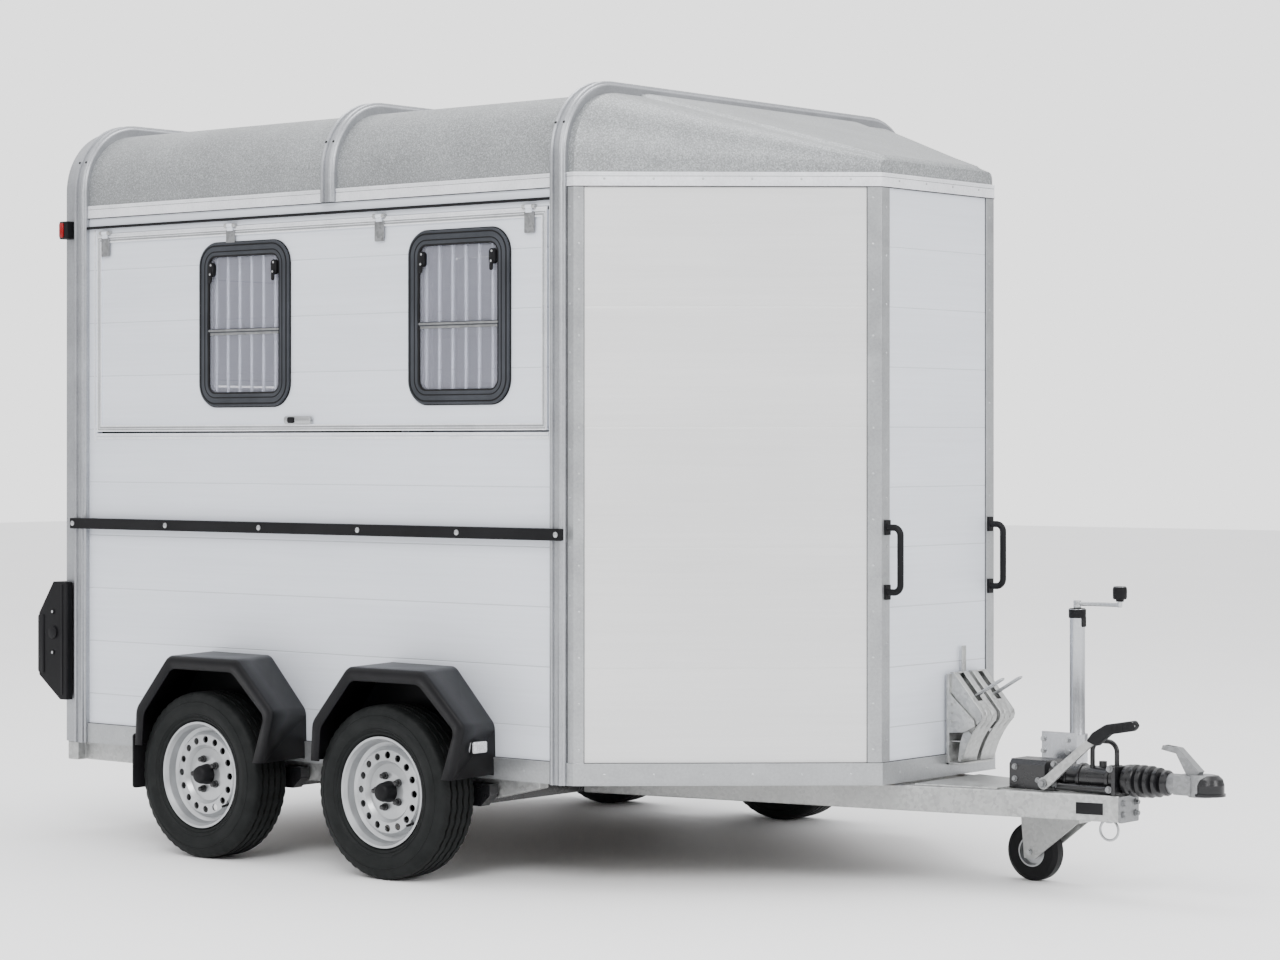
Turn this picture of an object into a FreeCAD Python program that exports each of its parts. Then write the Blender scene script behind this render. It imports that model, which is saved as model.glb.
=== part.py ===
import FreeCAD, Part
import Sketcher
import math
import os

# Horse trailer with two axles, standing level on its wheels and its jockey wheel.
# Sizes are in millimetres. +X points to the towing coupling, +Y to the trailer's left, +Z up.
# The part's origin lies on the ground, on the centre line, below the middle of the whole length.
# Stations along X are measured from the middle between the two axles, and every sub-part's
# Placement then shifts it by axle_station.

SIZES = {
    # Whole trailer
    "axle_station": -755.5,
    "half_width": 1000.0,
    "rear_x": -1393.0,
    "nose_len": 771.5,
    "nose_half": 337.0,
    "wall_t": 25.0,
    # Heights
    "sill_low": 352.0,
    "sill_h": 74.0,
    "sill_proud": 10.0,
    "floor_up": 50.0,
    "floor_t": 30.0,
    "wall_h": 1986.0,
    "trim_h": 47.0,
    "trim_proud": 7.0,
    "gutter_drop": 42.0,
    "gutter_h": 10.0,
    "gutter_proud": 16.0,
    # Corner strips
    "side_strip_t": 6.0,
    "side_strip_w": 32.0,
    "front_strip_t": 5.0,
    "front_strip_w": 45.0,
    # Roof
    "roof_h": 279.0,
    "roof_r": 225.0,
    "roof_t": 14.0,
    "cap_front_h": 44.0,
    "cap_front_r": 26.0,
    # Hoops and the bays between them
    "hoop_w": 66.0,
    "rear_bay": 1319.0,
    "front_bay": 1074.0,
    "corner_gap": 26.0,
    "hoop_side": 22.0,
    "hoop_rise": 36.0,
    "hoop_edge_r": 9.0,
    # Rear portal
    "portal_t": 58.0,
    "portal_side": 115.0,
    "portal_foot": 4.0,
    "portal_head": 144.0,
    "portal_proud": 8.0,
    "portal_rise": 22.0,
    "door_r": 90.0,
    # Rear ramp and top flap
    "ramp_t": 36.0,
    "ramp_gap": 7.0,
    "ramp_h": 1285.0,
    "ramp_lap": 12.0,
    "leaf_gap": 8.0,
    "knuckle_r": 11.0,
    "pin_r": 5.0,
    "pin_play": 0.08,
    "low_hinge_drop": 32.0,
    "top_hinge_rise": 52.0,
    # Side flaps
    "flap_rear_edge": 44.0,
    "flap_front_edge": 17.0,
    "flap_drop": 66.0,
    "flap_gap": 6.0,
    "flap_axis_out": 10.0,
    "flap_knuckle_r": 7.5,
    "flap_pin_r": 3.0,
    "flap_hinge_w": 56.0,
    "flap_hinge_in": 81.0,
    "flap_rim_w": 24.0,
    "flap_rim_t": 5.0,
    # Windows
    "win_w": 466.0,
    "win_h": 596.0,
    "win_r": 85.0,
    "win_frame": 46.0,
    "win_rear_in": 807.0,
    "win_front_in": 405.0,
    "win_foot_gap": 96.0,
    "win_head_gap": 56.0,
    "win_bar_h": 14.0,
    "win_bar_drop": 22.0,
    "glass_t": 5.0,
    "win_proud": 12.0,
    "grille_r": 6.0,
    "grille_pitch": 62.0,
    # Rub rail
    "rub_up": 831.0,
    "rub_h": 40.0,
    "rub_proud": 20.0,
    # Tyres and rims
    "axle_pitch": 904.0,
    "tyre_r": 298.0,
    "tyre_w": 185.0,
    "tyre_out": 120.0,
    "rim_r": 190.0,
    "rim_w": 148.0,
    "rim_hole_r": 12.5,
    "rim_hole_in": 65.0,
    "spindle_r": 24.0,
    "run_fit": 0.06,
    # Axles
    "axle_tube": 70.0,
    "axle_drop": 2.0,
    "arm_len": 250.0,
    "arm_t": 44.0,
    "arm_gap": 14.0,
    "drum_r": 110.0,
    "drum_t": 42.0,
    # Frame under the floor
    "rail_side": 38.0,
    "rail_w": 47.0,
    "rail_drop": 70.0,
    "rail_back": 185.0,
    "runner_w": 50.0,
    "bearer_h": 29.0,
    # Mudguards
    "guard_reach": 230.0,
    "guard_t": 6.0,
    "guard_room": 126.0,
    "guard_lip": 46.0,
    "guard_rear": 312.0,
    "guard_foot": 332.0,
    "mud_flap_h": 198.0,
    "mud_flap_drop": 292.0,
    # Drawbar
    "beam_h": 86.0,
    "beam_w": 44.0,
    "beam_ahead": 740.5,
    "beam_tip_half": 56.0,
    "beam_slope": 0.2126,
    "beam_len": 1925.0,
    "beam_plate_t": 6.0,
    # Overrun device, set back from the drawbar's tip
    "shaft_up": 48.0,
    "shaft_r": 25.0,
    "housing_back": 414.0,
    "housing_box": 137.0,
    "cylinder_len": 266.0,
    "housing_half": 62.0,
    "housing_h": 97.0,
    "cylinder_r": 40.0,
    "bellows_len": 171.0,
    "cable_rise": 74.0,
    "cable_r": 8.0,
    # Coupling head and its cap
    "head_len": 113.0,
    "head_r": 44.0,
    "nose_ahead": 79.0,
    "cap_wall": 4.0,
    "cap_lip": 4.0,
    "ball_r": 25.4,
    # Handbrake lever
    "lever_ahead": 15.0,
    "lever_up": 27.0,
    "lever_side": 28.0,
    "lever_t": 12.0,
    "grip_t": 30.0,
    "lever_pin_r": 8.0,
    # Jockey wheel
    "jockey_ahead": 90.0,
    "jockey_y": 219.0,
    "jockey_tube_r": 26.0,
    "jockey_tube_len": 598.0,
    "jockey_tube_drop": 13.0,
    "jockey_stem_r": 21.0,
    "jockey_overlap": 330.0,
    "jockey_trail": 165.0,
    "jockey_wheel_r": 100.0,
    "jockey_wheel_w": 58.0,
    "jockey_axle_r": 8.0,
    "crank_arm": 165.0,
    "clamp_low": 412.0,
    "clamp_h": 96.0,
    # Grab handles
    "grab_low": 966.0,
    "grab_h": 265.0,
    "grab_r": 11.0,
    "grab_out": 56.0,
    # Wheel chocks
    "chock_w": 90.0,
    "chock_y": 45.0,
    "chock_pitch": 112.0,
}

doc = FreeCAD.newDocument("horse_trailer")
sheet = doc.addObject("Spreadsheet::Sheet", "Sizes")
for row, (alias, number) in enumerate(SIZES.items(), start=1):
    sheet.set("A%d" % row, alias)
    sheet.set("B%d" % row, str(number))
    sheet.setAlias("B%d" % row, alias)
doc.recompute()


class Size:
    """A number that also carries its formula in terms of the sheet's cells."""

    def __init__(self, value, text):
        self.value = float(value)
        self.text = text

    def __add__(self, other):
        other = size(other)
        return Size(self.value + other.value, "(%s + %s)" % (self.text, other.text))

    def __sub__(self, other):
        other = size(other)
        return Size(self.value - other.value, "(%s - %s)" % (self.text, other.text))

    def __mul__(self, other):
        other = size(other)
        return Size(self.value * other.value, "(%s * %s)" % (self.text, other.text))

    def __truediv__(self, other):
        other = size(other)
        return Size(self.value / other.value, "(%s / %s)" % (self.text, other.text))

    def __neg__(self):
        return Size(-self.value, "(0 - %s)" % self.text)

    def __radd__(self, other):
        return size(other) + self

    def __rsub__(self, other):
        return size(other) - self

    def __rmul__(self, other):
        return size(other) * self


def size(number):
    """A plain number as a Size."""
    if isinstance(number, Size):
        return number
    return Size(number, "(%s)" % repr(float(number)))


def cell(alias):
    """The sheet's value of that name."""
    return Size(sheet.get(alias), "Sizes.%s" % alias)


class Cells:
    """Reads a cell of the sheet by its name."""

    def __getattr__(self, alias):
        return cell(alias)


c = Cells()

# Places that follow from the sizes
c.sill_high = c.sill_low + c.sill_h
c.floor_top = c.sill_low + c.floor_up
c.wall_top = c.sill_low + c.wall_h
c.trim_top = c.wall_top + c.trim_h
c.gutter_z = c.wall_top - c.gutter_drop
c.roof_top = c.trim_top + c.roof_h
c.rub_z = c.sill_low + c.rub_up
c.hoop_rear_x = c.rear_x + c.portal_t
c.hoop_mid_x = c.hoop_rear_x + c.rear_bay
c.hoop_front_x = c.hoop_mid_x + c.front_bay
c.corner_x = c.hoop_front_x + c.hoop_w + c.corner_gap
c.nose_x = c.corner_x + c.nose_len
c.door_half = c.half_width - c.portal_side
c.door_low = c.sill_high + c.portal_foot
c.door_high = c.roof_top - c.portal_head
c.ramp_hinge_z = c.door_low - c.low_hinge_drop
c.ramp_split = c.door_low + c.ramp_h
c.flap_top_z = c.door_high + c.top_hinge_rise
c.flap_rear = c.hoop_rear_x + c.hoop_w + c.flap_rear_edge
c.flap_front = c.hoop_front_x - c.flap_front_edge
c.flap_high = c.wall_top - c.flap_drop
c.flap_low = c.flap_high - c.win_head_gap - c.win_h - c.win_foot_gap
c.flap_axis_z = c.flap_high + c.flap_gap
c.win_rear_x = c.flap_rear + c.win_rear_in
c.win_front_x = c.flap_front - c.win_front_in
c.win_mid_z = c.flap_high - c.win_head_gap - c.win_h / 2
c.win_bar_z = c.win_mid_z - c.win_bar_drop
c.tyre_y = c.half_width + c.tyre_out
c.rim_hole_ring = c.rim_r - c.rim_hole_in
c.axle_z = c.tyre_r - c.axle_drop
c.rail_out = c.half_width - c.rail_side
c.rail_low = c.sill_low - c.rail_drop
c.rail_front = c.corner_x - c.rail_back
c.guard_out = c.half_width + c.guard_reach
c.guard_top = c.tyre_r * 2 + c.guard_room
c.beam_top = c.floor_top - c.floor_t - c.bearer_h
c.beam_tip_x = c.nose_x + c.beam_ahead
c.beam_rear_x = c.beam_tip_x - c.beam_len
c.shaft_z = c.beam_top + c.shaft_up
c.housing_rear = c.beam_tip_x - c.housing_back
c.housing_mid = c.housing_rear + c.housing_box
c.housing_front = c.housing_mid + c.cylinder_len
c.housing_top = c.beam_top + c.housing_h
c.bellows_end = c.housing_front + c.bellows_len
c.cable_top = c.housing_top + c.cable_rise
c.head_end = c.bellows_end + c.head_len
c.nose_tip = c.head_end + c.nose_ahead
c.cap_r = c.head_r + c.cap_wall
c.lever_x = c.housing_mid + c.lever_ahead
c.lever_z = c.beam_top + c.lever_up
c.lever_y = -c.housing_half - c.lever_side
c.jockey_x = c.housing_rear + c.jockey_ahead
c.jockey_tube_low = c.beam_top - c.jockey_tube_drop
c.jockey_tube_top = c.jockey_tube_low + c.jockey_tube_len
c.grab_high = c.grab_low + c.grab_h

nodes = {}
count = {"n": 0}


def fresh(name):
    """An internal name that no other object of the document has."""
    count["n"] += 1
    return "%s_%03d" % (name, count["n"])


def bind(thing, prop, number):
    """Ties one property of an object to its formula."""
    number = size(number)
    thing.setExpression(prop, number.text)


def box(x0, x1, y0, y1, z0, z1):
    """A block between two stations in each direction."""
    made = doc.addObject("Part::Box", fresh("block"))
    bind(made, "Length", size(x1) - x0)
    bind(made, "Width", size(y1) - y0)
    bind(made, "Height", size(z1) - z0)
    bind(made, "Placement.Base.x", x0)
    bind(made, "Placement.Base.y", y0)
    bind(made, "Placement.Base.z", z0)
    return made


TURNS = {
    "X": FreeCAD.Rotation(FreeCAD.Vector(0, 1, 0), 90),
    "Y": FreeCAD.Rotation(FreeCAD.Vector(1, 0, 0), -90),
    "Z": FreeCAD.Rotation(),
}


def rod(axis, x, y, z, radius, length):
    """A round bar that starts at a point and runs along +X, +Y or +Z."""
    made = doc.addObject("Part::Cylinder", fresh("rod"))
    made.Placement = FreeCAD.Placement(FreeCAD.Vector(0, 0, 0), TURNS[axis])
    bind(made, "Radius", radius)
    bind(made, "Height", length)
    bind(made, "Placement.Base.x", x)
    bind(made, "Placement.Base.y", y)
    bind(made, "Placement.Base.z", z)
    return made


def origin_plane(body, role):
    """The plane of a body's own origin with that role."""
    for feature in body.Origin.OriginFeatures:
        if feature.Role == role:
            return feature
    raise ValueError(role)


def draw(sketch, loop):
    """Draws one closed outline; a third number at a corner rounds that corner.

    Rounded corners lie between edges that run along the sketch's own axes.
    """
    total = len(loop)
    stops = []
    for i, corner in enumerate(loop):
        x, y = size(corner[0]), size(corner[1])
        if len(corner) == 2:
            stops.append(((x, y), None))
            continue
        r = size(corner[2])
        ends = []
        for other in (loop[i - 1], loop[(i + 1) % total]):
            dx = size(other[0]).value - x.value
            dy = size(other[1]).value - y.value
            if abs(dx) > abs(dy):
                ends.append((x + r * math.copysign(1, dx), y))
            else:
                ends.append((x, y + r * math.copysign(1, dy)))
        stops.append((ends[0], None))
        stops.append((ends[1], (r, x, y)))
    edges = []
    for i, (start, _) in enumerate(stops):
        end, arc = stops[(i + 1) % len(stops)]
        a = FreeCAD.Vector(start[0].value, start[1].value, 0)
        b = FreeCAD.Vector(end[0].value, end[1].value, 0)
        if arc is None:
            edges.append((sketch.addGeometry(Part.LineSegment(a, b), False), None, start))
            continue
        r, x, y = arc
        corner = FreeCAD.Vector(x.value, y.value, 0)
        centre = a + b - corner
        middle = centre + (corner - centre).normalize() * r.value
        edges.append((sketch.addGeometry(Part.Arc(a, middle, b), False), r, start))
    constraints = []
    ends = []
    for index, r, start in edges:
        shape = sketch.Geometry[index]
        a = FreeCAD.Vector(start[0].value, start[1].value, 0)
        first = 1 if shape.StartPoint.distanceToPoint(a) < 1e-6 else 2
        ends.append((index, first, 3 - first))
    for i, (index, first, last) in enumerate(ends):
        following = ends[(i + 1) % len(ends)]
        sketch.addConstraint(Sketcher.Constraint("Coincident", index, last, following[0], following[1]))
    for (index, r, start), (_, first, _) in zip(edges, ends):
        for kind, coordinate in (("DistanceX", start[0]), ("DistanceY", start[1])):
            rule = Sketcher.Constraint(kind, -1, 1, index, first, coordinate.value)
            number = sketch.addConstraint(rule)
            sketch.setExpression("Constraints[%d]" % number, coordinate.text)
        if r is not None:
            number = sketch.addConstraint(Sketcher.Constraint("Radius", index, r.value))
            sketch.setExpression("Constraints[%d]" % number, r.text)


def pad(plane, loops, low, high):
    """A body padded from an outline, between two stations along the plane's normal.

    XY outlines give X and Y, XZ outlines give X and Z, YZ outlines give Y and Z.
    """
    low, high = size(low), size(high)
    body = doc.addObject("PartDesign::Body", fresh("body"))
    sketch = body.newObject("Sketcher::SketchObject", fresh("sketch"))
    sketch.AttachmentSupport = (origin_plane(body, plane + "_Plane"), [""])
    sketch.MapMode = "FlatFace"
    bind(sketch, "AttachmentOffset.Base.z", -high if plane == "XZ" else low)
    for loop in loops:
        draw(sketch, loop)
    feature = body.newObject("PartDesign::Pad", fresh("pad"))
    feature.Profile = sketch
    bind(feature, "Length", high - low)
    return body


def turned(loop, axis="Y"):
    """A body turned about an axis through the origin.

    The outline is (Y, radius) about Y, (X, radius) about X and (radius, Z) about Z.
    """
    body = doc.addObject("PartDesign::Body", fresh("body"))
    sketch = body.newObject("Sketcher::SketchObject", fresh("sketch"))
    plane = "YZ_Plane" if axis == "Y" else "XZ_Plane"
    sketch.AttachmentSupport = (origin_plane(body, plane), [""])
    sketch.MapMode = "FlatFace"
    draw(sketch, loop)
    feature = body.newObject("PartDesign::Revolution", fresh("turn"))
    feature.Profile = sketch
    feature.ReferenceAxis = (sketch, ["V_Axis" if axis == "Z" else "H_Axis"])
    feature.Angle = 360
    return body


def moved(piece, x, y, z):
    """The piece with its origin at a point."""
    for axis, number in (("x", x), ("y", y), ("z", z)):
        bind(piece, "Placement.Base." + axis, number)
    return piece


def bent(points, radius, bend):
    """A round tube along straight runs, with a tangent arc at each inner point."""
    p = [FreeCAD.Vector(*[size(v).value for v in point]) for point in points]
    edges = []
    start = p[0]
    for before, corner, after in zip(p, p[1:], p[2:]):
        u = (before - corner).normalize()
        v = (after - corner).normalize()
        half = u.getAngle(v) / 2
        reach = bend / math.tan(half)
        first, last = corner + u * reach, corner + v * reach
        middle = corner + (u + v).normalize() * (bend / math.sin(half) - bend)
        edges.append(Part.makeLine(start, first))
        edges.append(Part.Arc(first, middle, last).toShape())
        start = last
    edges.append(Part.makeLine(start, p[-1]))
    path = Part.Wire(edges)
    ring = Part.Wire([Part.makeCircle(size(radius).value, p[0], p[1] - p[0])])
    return shaped(path.makePipeShell([ring], True, False))


def cut(base, *tools):
    """One shape less some others."""
    for tool in tools:
        made = doc.addObject("Part::Cut", fresh("cut"))
        made.Base = base
        made.Tool = tool
        base = made
    return base


def fuse(*pieces):
    """Pieces as one object, joined where they touch."""
    if len(pieces) == 1:
        return pieces[0]
    made = doc.addObject("Part::MultiFuse", fresh("fuse"))
    made.Shapes = list(pieces)
    return made


def mirrored(piece):
    """The same piece on the trailer's other side."""
    made = doc.addObject("Part::Mirroring", fresh("mirror"))
    made.Source = piece
    made.Normal = FreeCAD.Vector(0, 1, 0)
    made.Base = FreeCAD.Vector(0, 0, 0)
    return made


def shaped(shape):
    """A shape that Part's own functions made."""
    made = doc.addObject("Part::Feature", fresh("shape"))
    made.Shape = shape
    return made


def node(label, *pieces):
    """Names a sub-part and places it in the part's frame."""
    made = doc.addObject("Part::Compound", fresh("node"))
    made.Links = list(pieces)
    made.Label = label
    bind(made, "Placement.Base.x", c.axle_station)
    nodes[label] = made
    return made


def both(label, piece):
    """A sub-part of the right side and its mirror image on the left."""
    node(label + "_right", piece)
    node(label + "_left", mirrored(piece))


def pair(piece):
    """A piece of the right side and its mirror image."""
    return [piece, mirrored(piece)]


def arch(half, low, top, r):
    """An upright outline with two rounded upper corners, as (Y, Z) points."""
    return [(-half, low), (half, low), (half, top, r), (-half, top, r)]


def rect(x0, x1, z0, z1, r=None):
    """A rectangle's outline, with rounded corners if r is given."""
    if r is None:
        return [(x0, z0), (x1, z0), (x1, z1), (x0, z1)]
    return [(x0, z0, r), (x1, z0, r), (x1, z1, r), (x0, z1, r)]


# Floor, from wall to wall and into the nose
inner = c.half_width - c.wall_t
slant = math.atan2(c.half_width.value - c.nose_half.value, c.nose_x.value - c.corner_x.value)
back_x = c.wall_t * math.tan(slant / 2)
turn_front = math.tan((math.pi / 2 - slant) / 2)
front_y = c.nose_half - c.wall_t * turn_front
floor_outline = [
    (c.hoop_rear_x, -inner),
    (c.corner_x - back_x, -inner),
    (c.nose_x - c.wall_t, -front_y),
    (c.nose_x - c.wall_t, front_y),
    (c.corner_x - back_x, inner),
    (c.hoop_rear_x, inner),
]
node("floor", pad("XY", [floor_outline], c.floor_top - c.floor_t, c.floor_top))

# Side walls with the big opening of the upper flap
wall_ring = rect(c.hoop_rear_x, c.corner_x, c.sill_low, c.wall_top)
wall_hole = rect(c.flap_rear, c.flap_front, c.flap_low, c.flap_high + c.flap_gap)
node("side_walls", *pair(pad("XZ", [wall_ring, wall_hole], -c.half_width, -inner)))

# Nose: a slanted panel on each side and the narrow front panel
slant_panel = [
    (c.corner_x, -c.half_width),
    (c.nose_x, -c.nose_half),
    (c.nose_x - c.wall_t, -front_y),
    (c.corner_x - back_x, -inner),
]
slant_pad = pad("XY", [slant_panel], c.sill_low, c.wall_top)
slant_end = box(c.corner_x - 60, c.corner_x, -c.half_width, -c.half_width / 2, c.sill_low - 5, c.wall_top + 5)
node("nose_panels", *pair(cut(slant_pad, slant_end)))
front_panel = [
    (c.nose_x, -c.nose_half),
    (c.nose_x, c.nose_half),
    (c.nose_x - c.wall_t, front_y),
    (c.nose_x - c.wall_t, -front_y),
]
node("front_panel", pad("XY", [front_panel], c.sill_low, c.wall_top))


def nose_band(proud, deep):
    """A strip that follows the nose in plan, proud of the panels."""
    # Mitre offsets at the corner to the side and at the corner to the front
    turn_side = math.tan(slant / 2)
    outer = [
        (c.hoop_front_x + c.hoop_w, -c.half_width - proud),
        (c.corner_x + proud * turn_side, -c.half_width - proud),
        (c.nose_x + proud, -c.nose_half - proud * turn_front),
        (c.nose_x + proud, c.nose_half + proud * turn_front),
        (c.corner_x + proud * turn_side, c.half_width + proud),
        (c.hoop_front_x + c.hoop_w, c.half_width + proud),
    ]
    deep_outer = [
        (c.hoop_front_x + c.hoop_w, c.half_width - deep),
        (c.corner_x - deep * turn_side, c.half_width - deep),
        (c.nose_x - deep, c.nose_half - deep * turn_front),
        (c.nose_x - deep, -c.nose_half + deep * turn_front),
        (c.corner_x - deep * turn_side, -c.half_width + deep),
        (c.hoop_front_x + c.hoop_w, -c.half_width + deep),
    ]
    return outer + deep_outer


# Sill rails along both sides and round the nose
wall = -c.half_width
bay_rear = c.hoop_rear_x + c.hoop_w
bay_front = c.hoop_front_x + c.hoop_w
side_sill = box(bay_rear, c.hoop_front_x, wall - c.sill_proud, wall, c.sill_low, c.sill_high)
nose_sill = pad("XY", [nose_band(c.sill_proud, size(0))], c.sill_low, c.sill_high)

# Trim band under the roof, in lengths between the hoops
rear_trim = box(bay_rear, c.hoop_mid_x, wall - c.trim_proud, wall, c.wall_top, c.trim_top)
mid_trim = box(c.hoop_mid_x + c.hoop_w, c.hoop_front_x, wall - c.trim_proud, wall, c.wall_top, c.trim_top)
core_trim = box(c.hoop_rear_x, bay_front, wall, -inner, c.wall_top, c.trim_top)
side_trim = fuse(core_trim, rear_trim, mid_trim)
nose_trim = pad("XY", [nose_band(c.trim_proud, c.wall_t)], c.wall_top, c.trim_top)
node("roof_trims", fuse(nose_trim, *pair(side_trim)))

# Corner strips at the turn to the slanted panel and at the turn to the front panel
def slanted(x, y, run, out):
    """A point at distances along the slanted panel and out from it, from one of its corners."""
    across, along = math.sin(slant), math.cos(slant)
    return (x + run * along + out * across, y + run * across - out * along)


post_side = [
    (bay_front, wall - c.side_strip_t),
    (c.corner_x + c.side_strip_t * math.tan(slant / 2), wall - c.side_strip_t),
    slanted(c.corner_x, wall, c.side_strip_w, c.side_strip_t),
    slanted(c.corner_x, wall, c.side_strip_w, 0),
    (c.corner_x, wall),
    (bay_front, wall),
]
post_front = [
    (c.nose_x + c.front_strip_t, -c.nose_half - c.front_strip_t * turn_front),
    (c.nose_x + c.front_strip_t, -c.nose_half + c.front_strip_w),
    (c.nose_x, -c.nose_half + c.front_strip_w),
    (c.nose_x, -c.nose_half),
    slanted(c.nose_x, -c.nose_half, -c.front_strip_w, 0),
    slanted(c.nose_x, -c.nose_half, -c.front_strip_w, c.front_strip_t),
]
side_post = pad("XY", [post_side], c.sill_high, c.wall_top)
front_post = pad("XY", [post_front], c.sill_high, c.wall_top)
corner_strips = pair(side_post) + pair(front_post)
node("edge_strips", fuse(nose_sill, *(corner_strips + pair(side_sill))))

# Roof shell between the rear portal and the front hoop
roof_outer = arch(c.half_width, c.trim_top, c.roof_top, c.roof_r)
roof_inner = arch(c.half_width - c.roof_t, c.trim_top - 5, c.roof_top - c.roof_t, c.roof_r - c.roof_t)
roof_body = pad("YZ", [roof_outer], c.hoop_rear_x, bay_front)
roof_room = pad("YZ", [roof_inner], c.hoop_rear_x - 5, bay_front + 5)
node("roof_shell", cut(roof_body, roof_room))


# Roof cap over the nose: the shell's section runs on to the corner and then falls to the front
def section(half, low, top, r, x):
    """The wire of an arch section at a station along X."""
    k = r * (1 - math.sqrt(0.5))
    points = [
        (-half, low), (half, low), (half, top - r), (half - k, top - k),
        (half - r, top), (-half + r, top), (-half + k, top - k), (-half, top - r),
    ]
    p = [FreeCAD.Vector(x, y, z) for y, z in points]
    return Part.Wire([
        Part.LineSegment(p[0], p[1]).toShape(),
        Part.LineSegment(p[1], p[2]).toShape(),
        Part.Arc(p[2], p[3], p[4]).toShape(),
        Part.LineSegment(p[4], p[5]).toShape(),
        Part.Arc(p[5], p[6], p[7]).toShape(),
        Part.LineSegment(p[7], p[0]).toShape(),
    ])


def cap_solid(inset, below, ahead, behind):
    """The cap's outer form, or the room inside it when inset."""
    half, nose = c.half_width.value - inset, c.nose_half.value - inset
    low, top, r = c.trim_top.value - below, c.roof_top.value - inset, c.roof_r.value - inset
    front_top = c.trim_top.value + c.cap_front_h.value - inset
    start = c.hoop_front_x.value + c.hoop_w.value - behind
    first = section(half, low, top, r, start)
    bend = section(half, low, top, r, c.corner_x.value)
    last = section(nose, low, front_top, c.cap_front_r.value - inset / 2, c.nose_x.value - ahead)
    straight = Part.makeLoft([first, bend], True, True)
    falling = Part.makeLoft([bend, last], True, True)
    return straight.fuse(falling)


node("roof_cap", shaped(cap_solid(0, 0, 0, 0).cut(cap_solid(c.roof_t.value, 5, c.roof_t.value, 5))))

# Hoops: full height at the front and rear, on the roof alone in the middle
def hoop(x, low):
    """One hoop that wraps the body from a height up, rounded along its outer edges."""
    outside = arch(c.half_width + c.hoop_side, low, c.roof_top + c.hoop_rise, c.roof_r + c.hoop_rise)
    inside = arch(c.half_width, size(low) - 5, c.roof_top, c.roof_r)
    body = pad("YZ", [outside], x, x + c.hoop_w)
    doc.recompute()
    foot = size(low).value + 1
    edges = [e for e in body.Shape.Edges if e.BoundBox.XLength < 0.01 and e.BoundBox.ZMax > foot]
    rounded = shaped(body.Shape.makeFillet(c.hoop_edge_r.value, edges))
    return cut(rounded, pad("YZ", [inside], x - 5, x + c.hoop_w + 5))


rear_hoop = hoop(c.hoop_rear_x, c.sill_low)
mid_hoop = hoop(c.hoop_mid_x, c.wall_top)
front_hoop = hoop(c.hoop_front_x, c.sill_low)
node("hoops", rear_hoop, mid_hoop, front_hoop)

# Rear portal: the frame that the ramp and the top flap close
portal_top = c.roof_top + c.portal_rise
portal_out = arch(c.half_width + c.portal_proud, c.sill_low, portal_top, c.roof_r + c.portal_rise - 2)
portal_in = arch(c.door_half, c.door_low, c.door_high, c.door_r)
node("rear_portal", pad("YZ", [portal_out, portal_in], c.rear_x, c.hoop_rear_x))

# Black gutter strip over each flap
gutter_top = c.gutter_z + c.gutter_h
gutter = box(bay_rear, c.hoop_front_x, wall - c.gutter_proud, wall, c.gutter_z, gutter_top)

# Rub rail along each side wall, over the hoops
rub_low = c.rub_z - c.rub_h / 2
rub_high = c.rub_z + c.rub_h / 2
rub_in = wall - c.hoop_side
rub = box(c.hoop_rear_x, bay_front, rub_in - c.rub_proud, rub_in, rub_low, rub_high)
rub_back = box(bay_rear, c.hoop_front_x, rub_in, wall, rub_low, rub_high)
rub_rail = fuse(rub, rub_back)
node("side_strips", *(pair(gutter) + pair(rub_rail)))

# Side flaps, hung at the top
flap_x0 = c.flap_rear + c.flap_gap
flap_x1 = c.flap_front - c.flap_gap
flap_z0 = c.flap_low + c.flap_gap
flap_z1 = c.flap_high - c.flap_gap


def window_rect(x, inset):
    """The outline of one window, inset by a distance."""
    half_w, half_h = c.win_w / 2 - inset, c.win_h / 2 - inset
    return rect(x - half_w, x + half_w, c.win_mid_z - half_h, c.win_mid_z + half_h, c.win_r - inset)


window_seat = c.win_frame / 2
flap_edge = rect(flap_x0, flap_x1, flap_z0, flap_z1)
flap_field = rect(
    flap_x0 + c.flap_rim_w, flap_x1 - c.flap_rim_w, flap_z0 + c.flap_rim_w, flap_z1 - c.flap_rim_w)
rear_seat = window_rect(c.win_rear_x, window_seat)
front_seat = window_rect(c.win_front_x, window_seat)
flap_panel = pad("XZ", [flap_edge, rear_seat, front_seat], wall, -inner)
flap_rim = pad("XZ", [flap_edge, flap_field], wall - c.flap_rim_t, wall)

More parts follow.
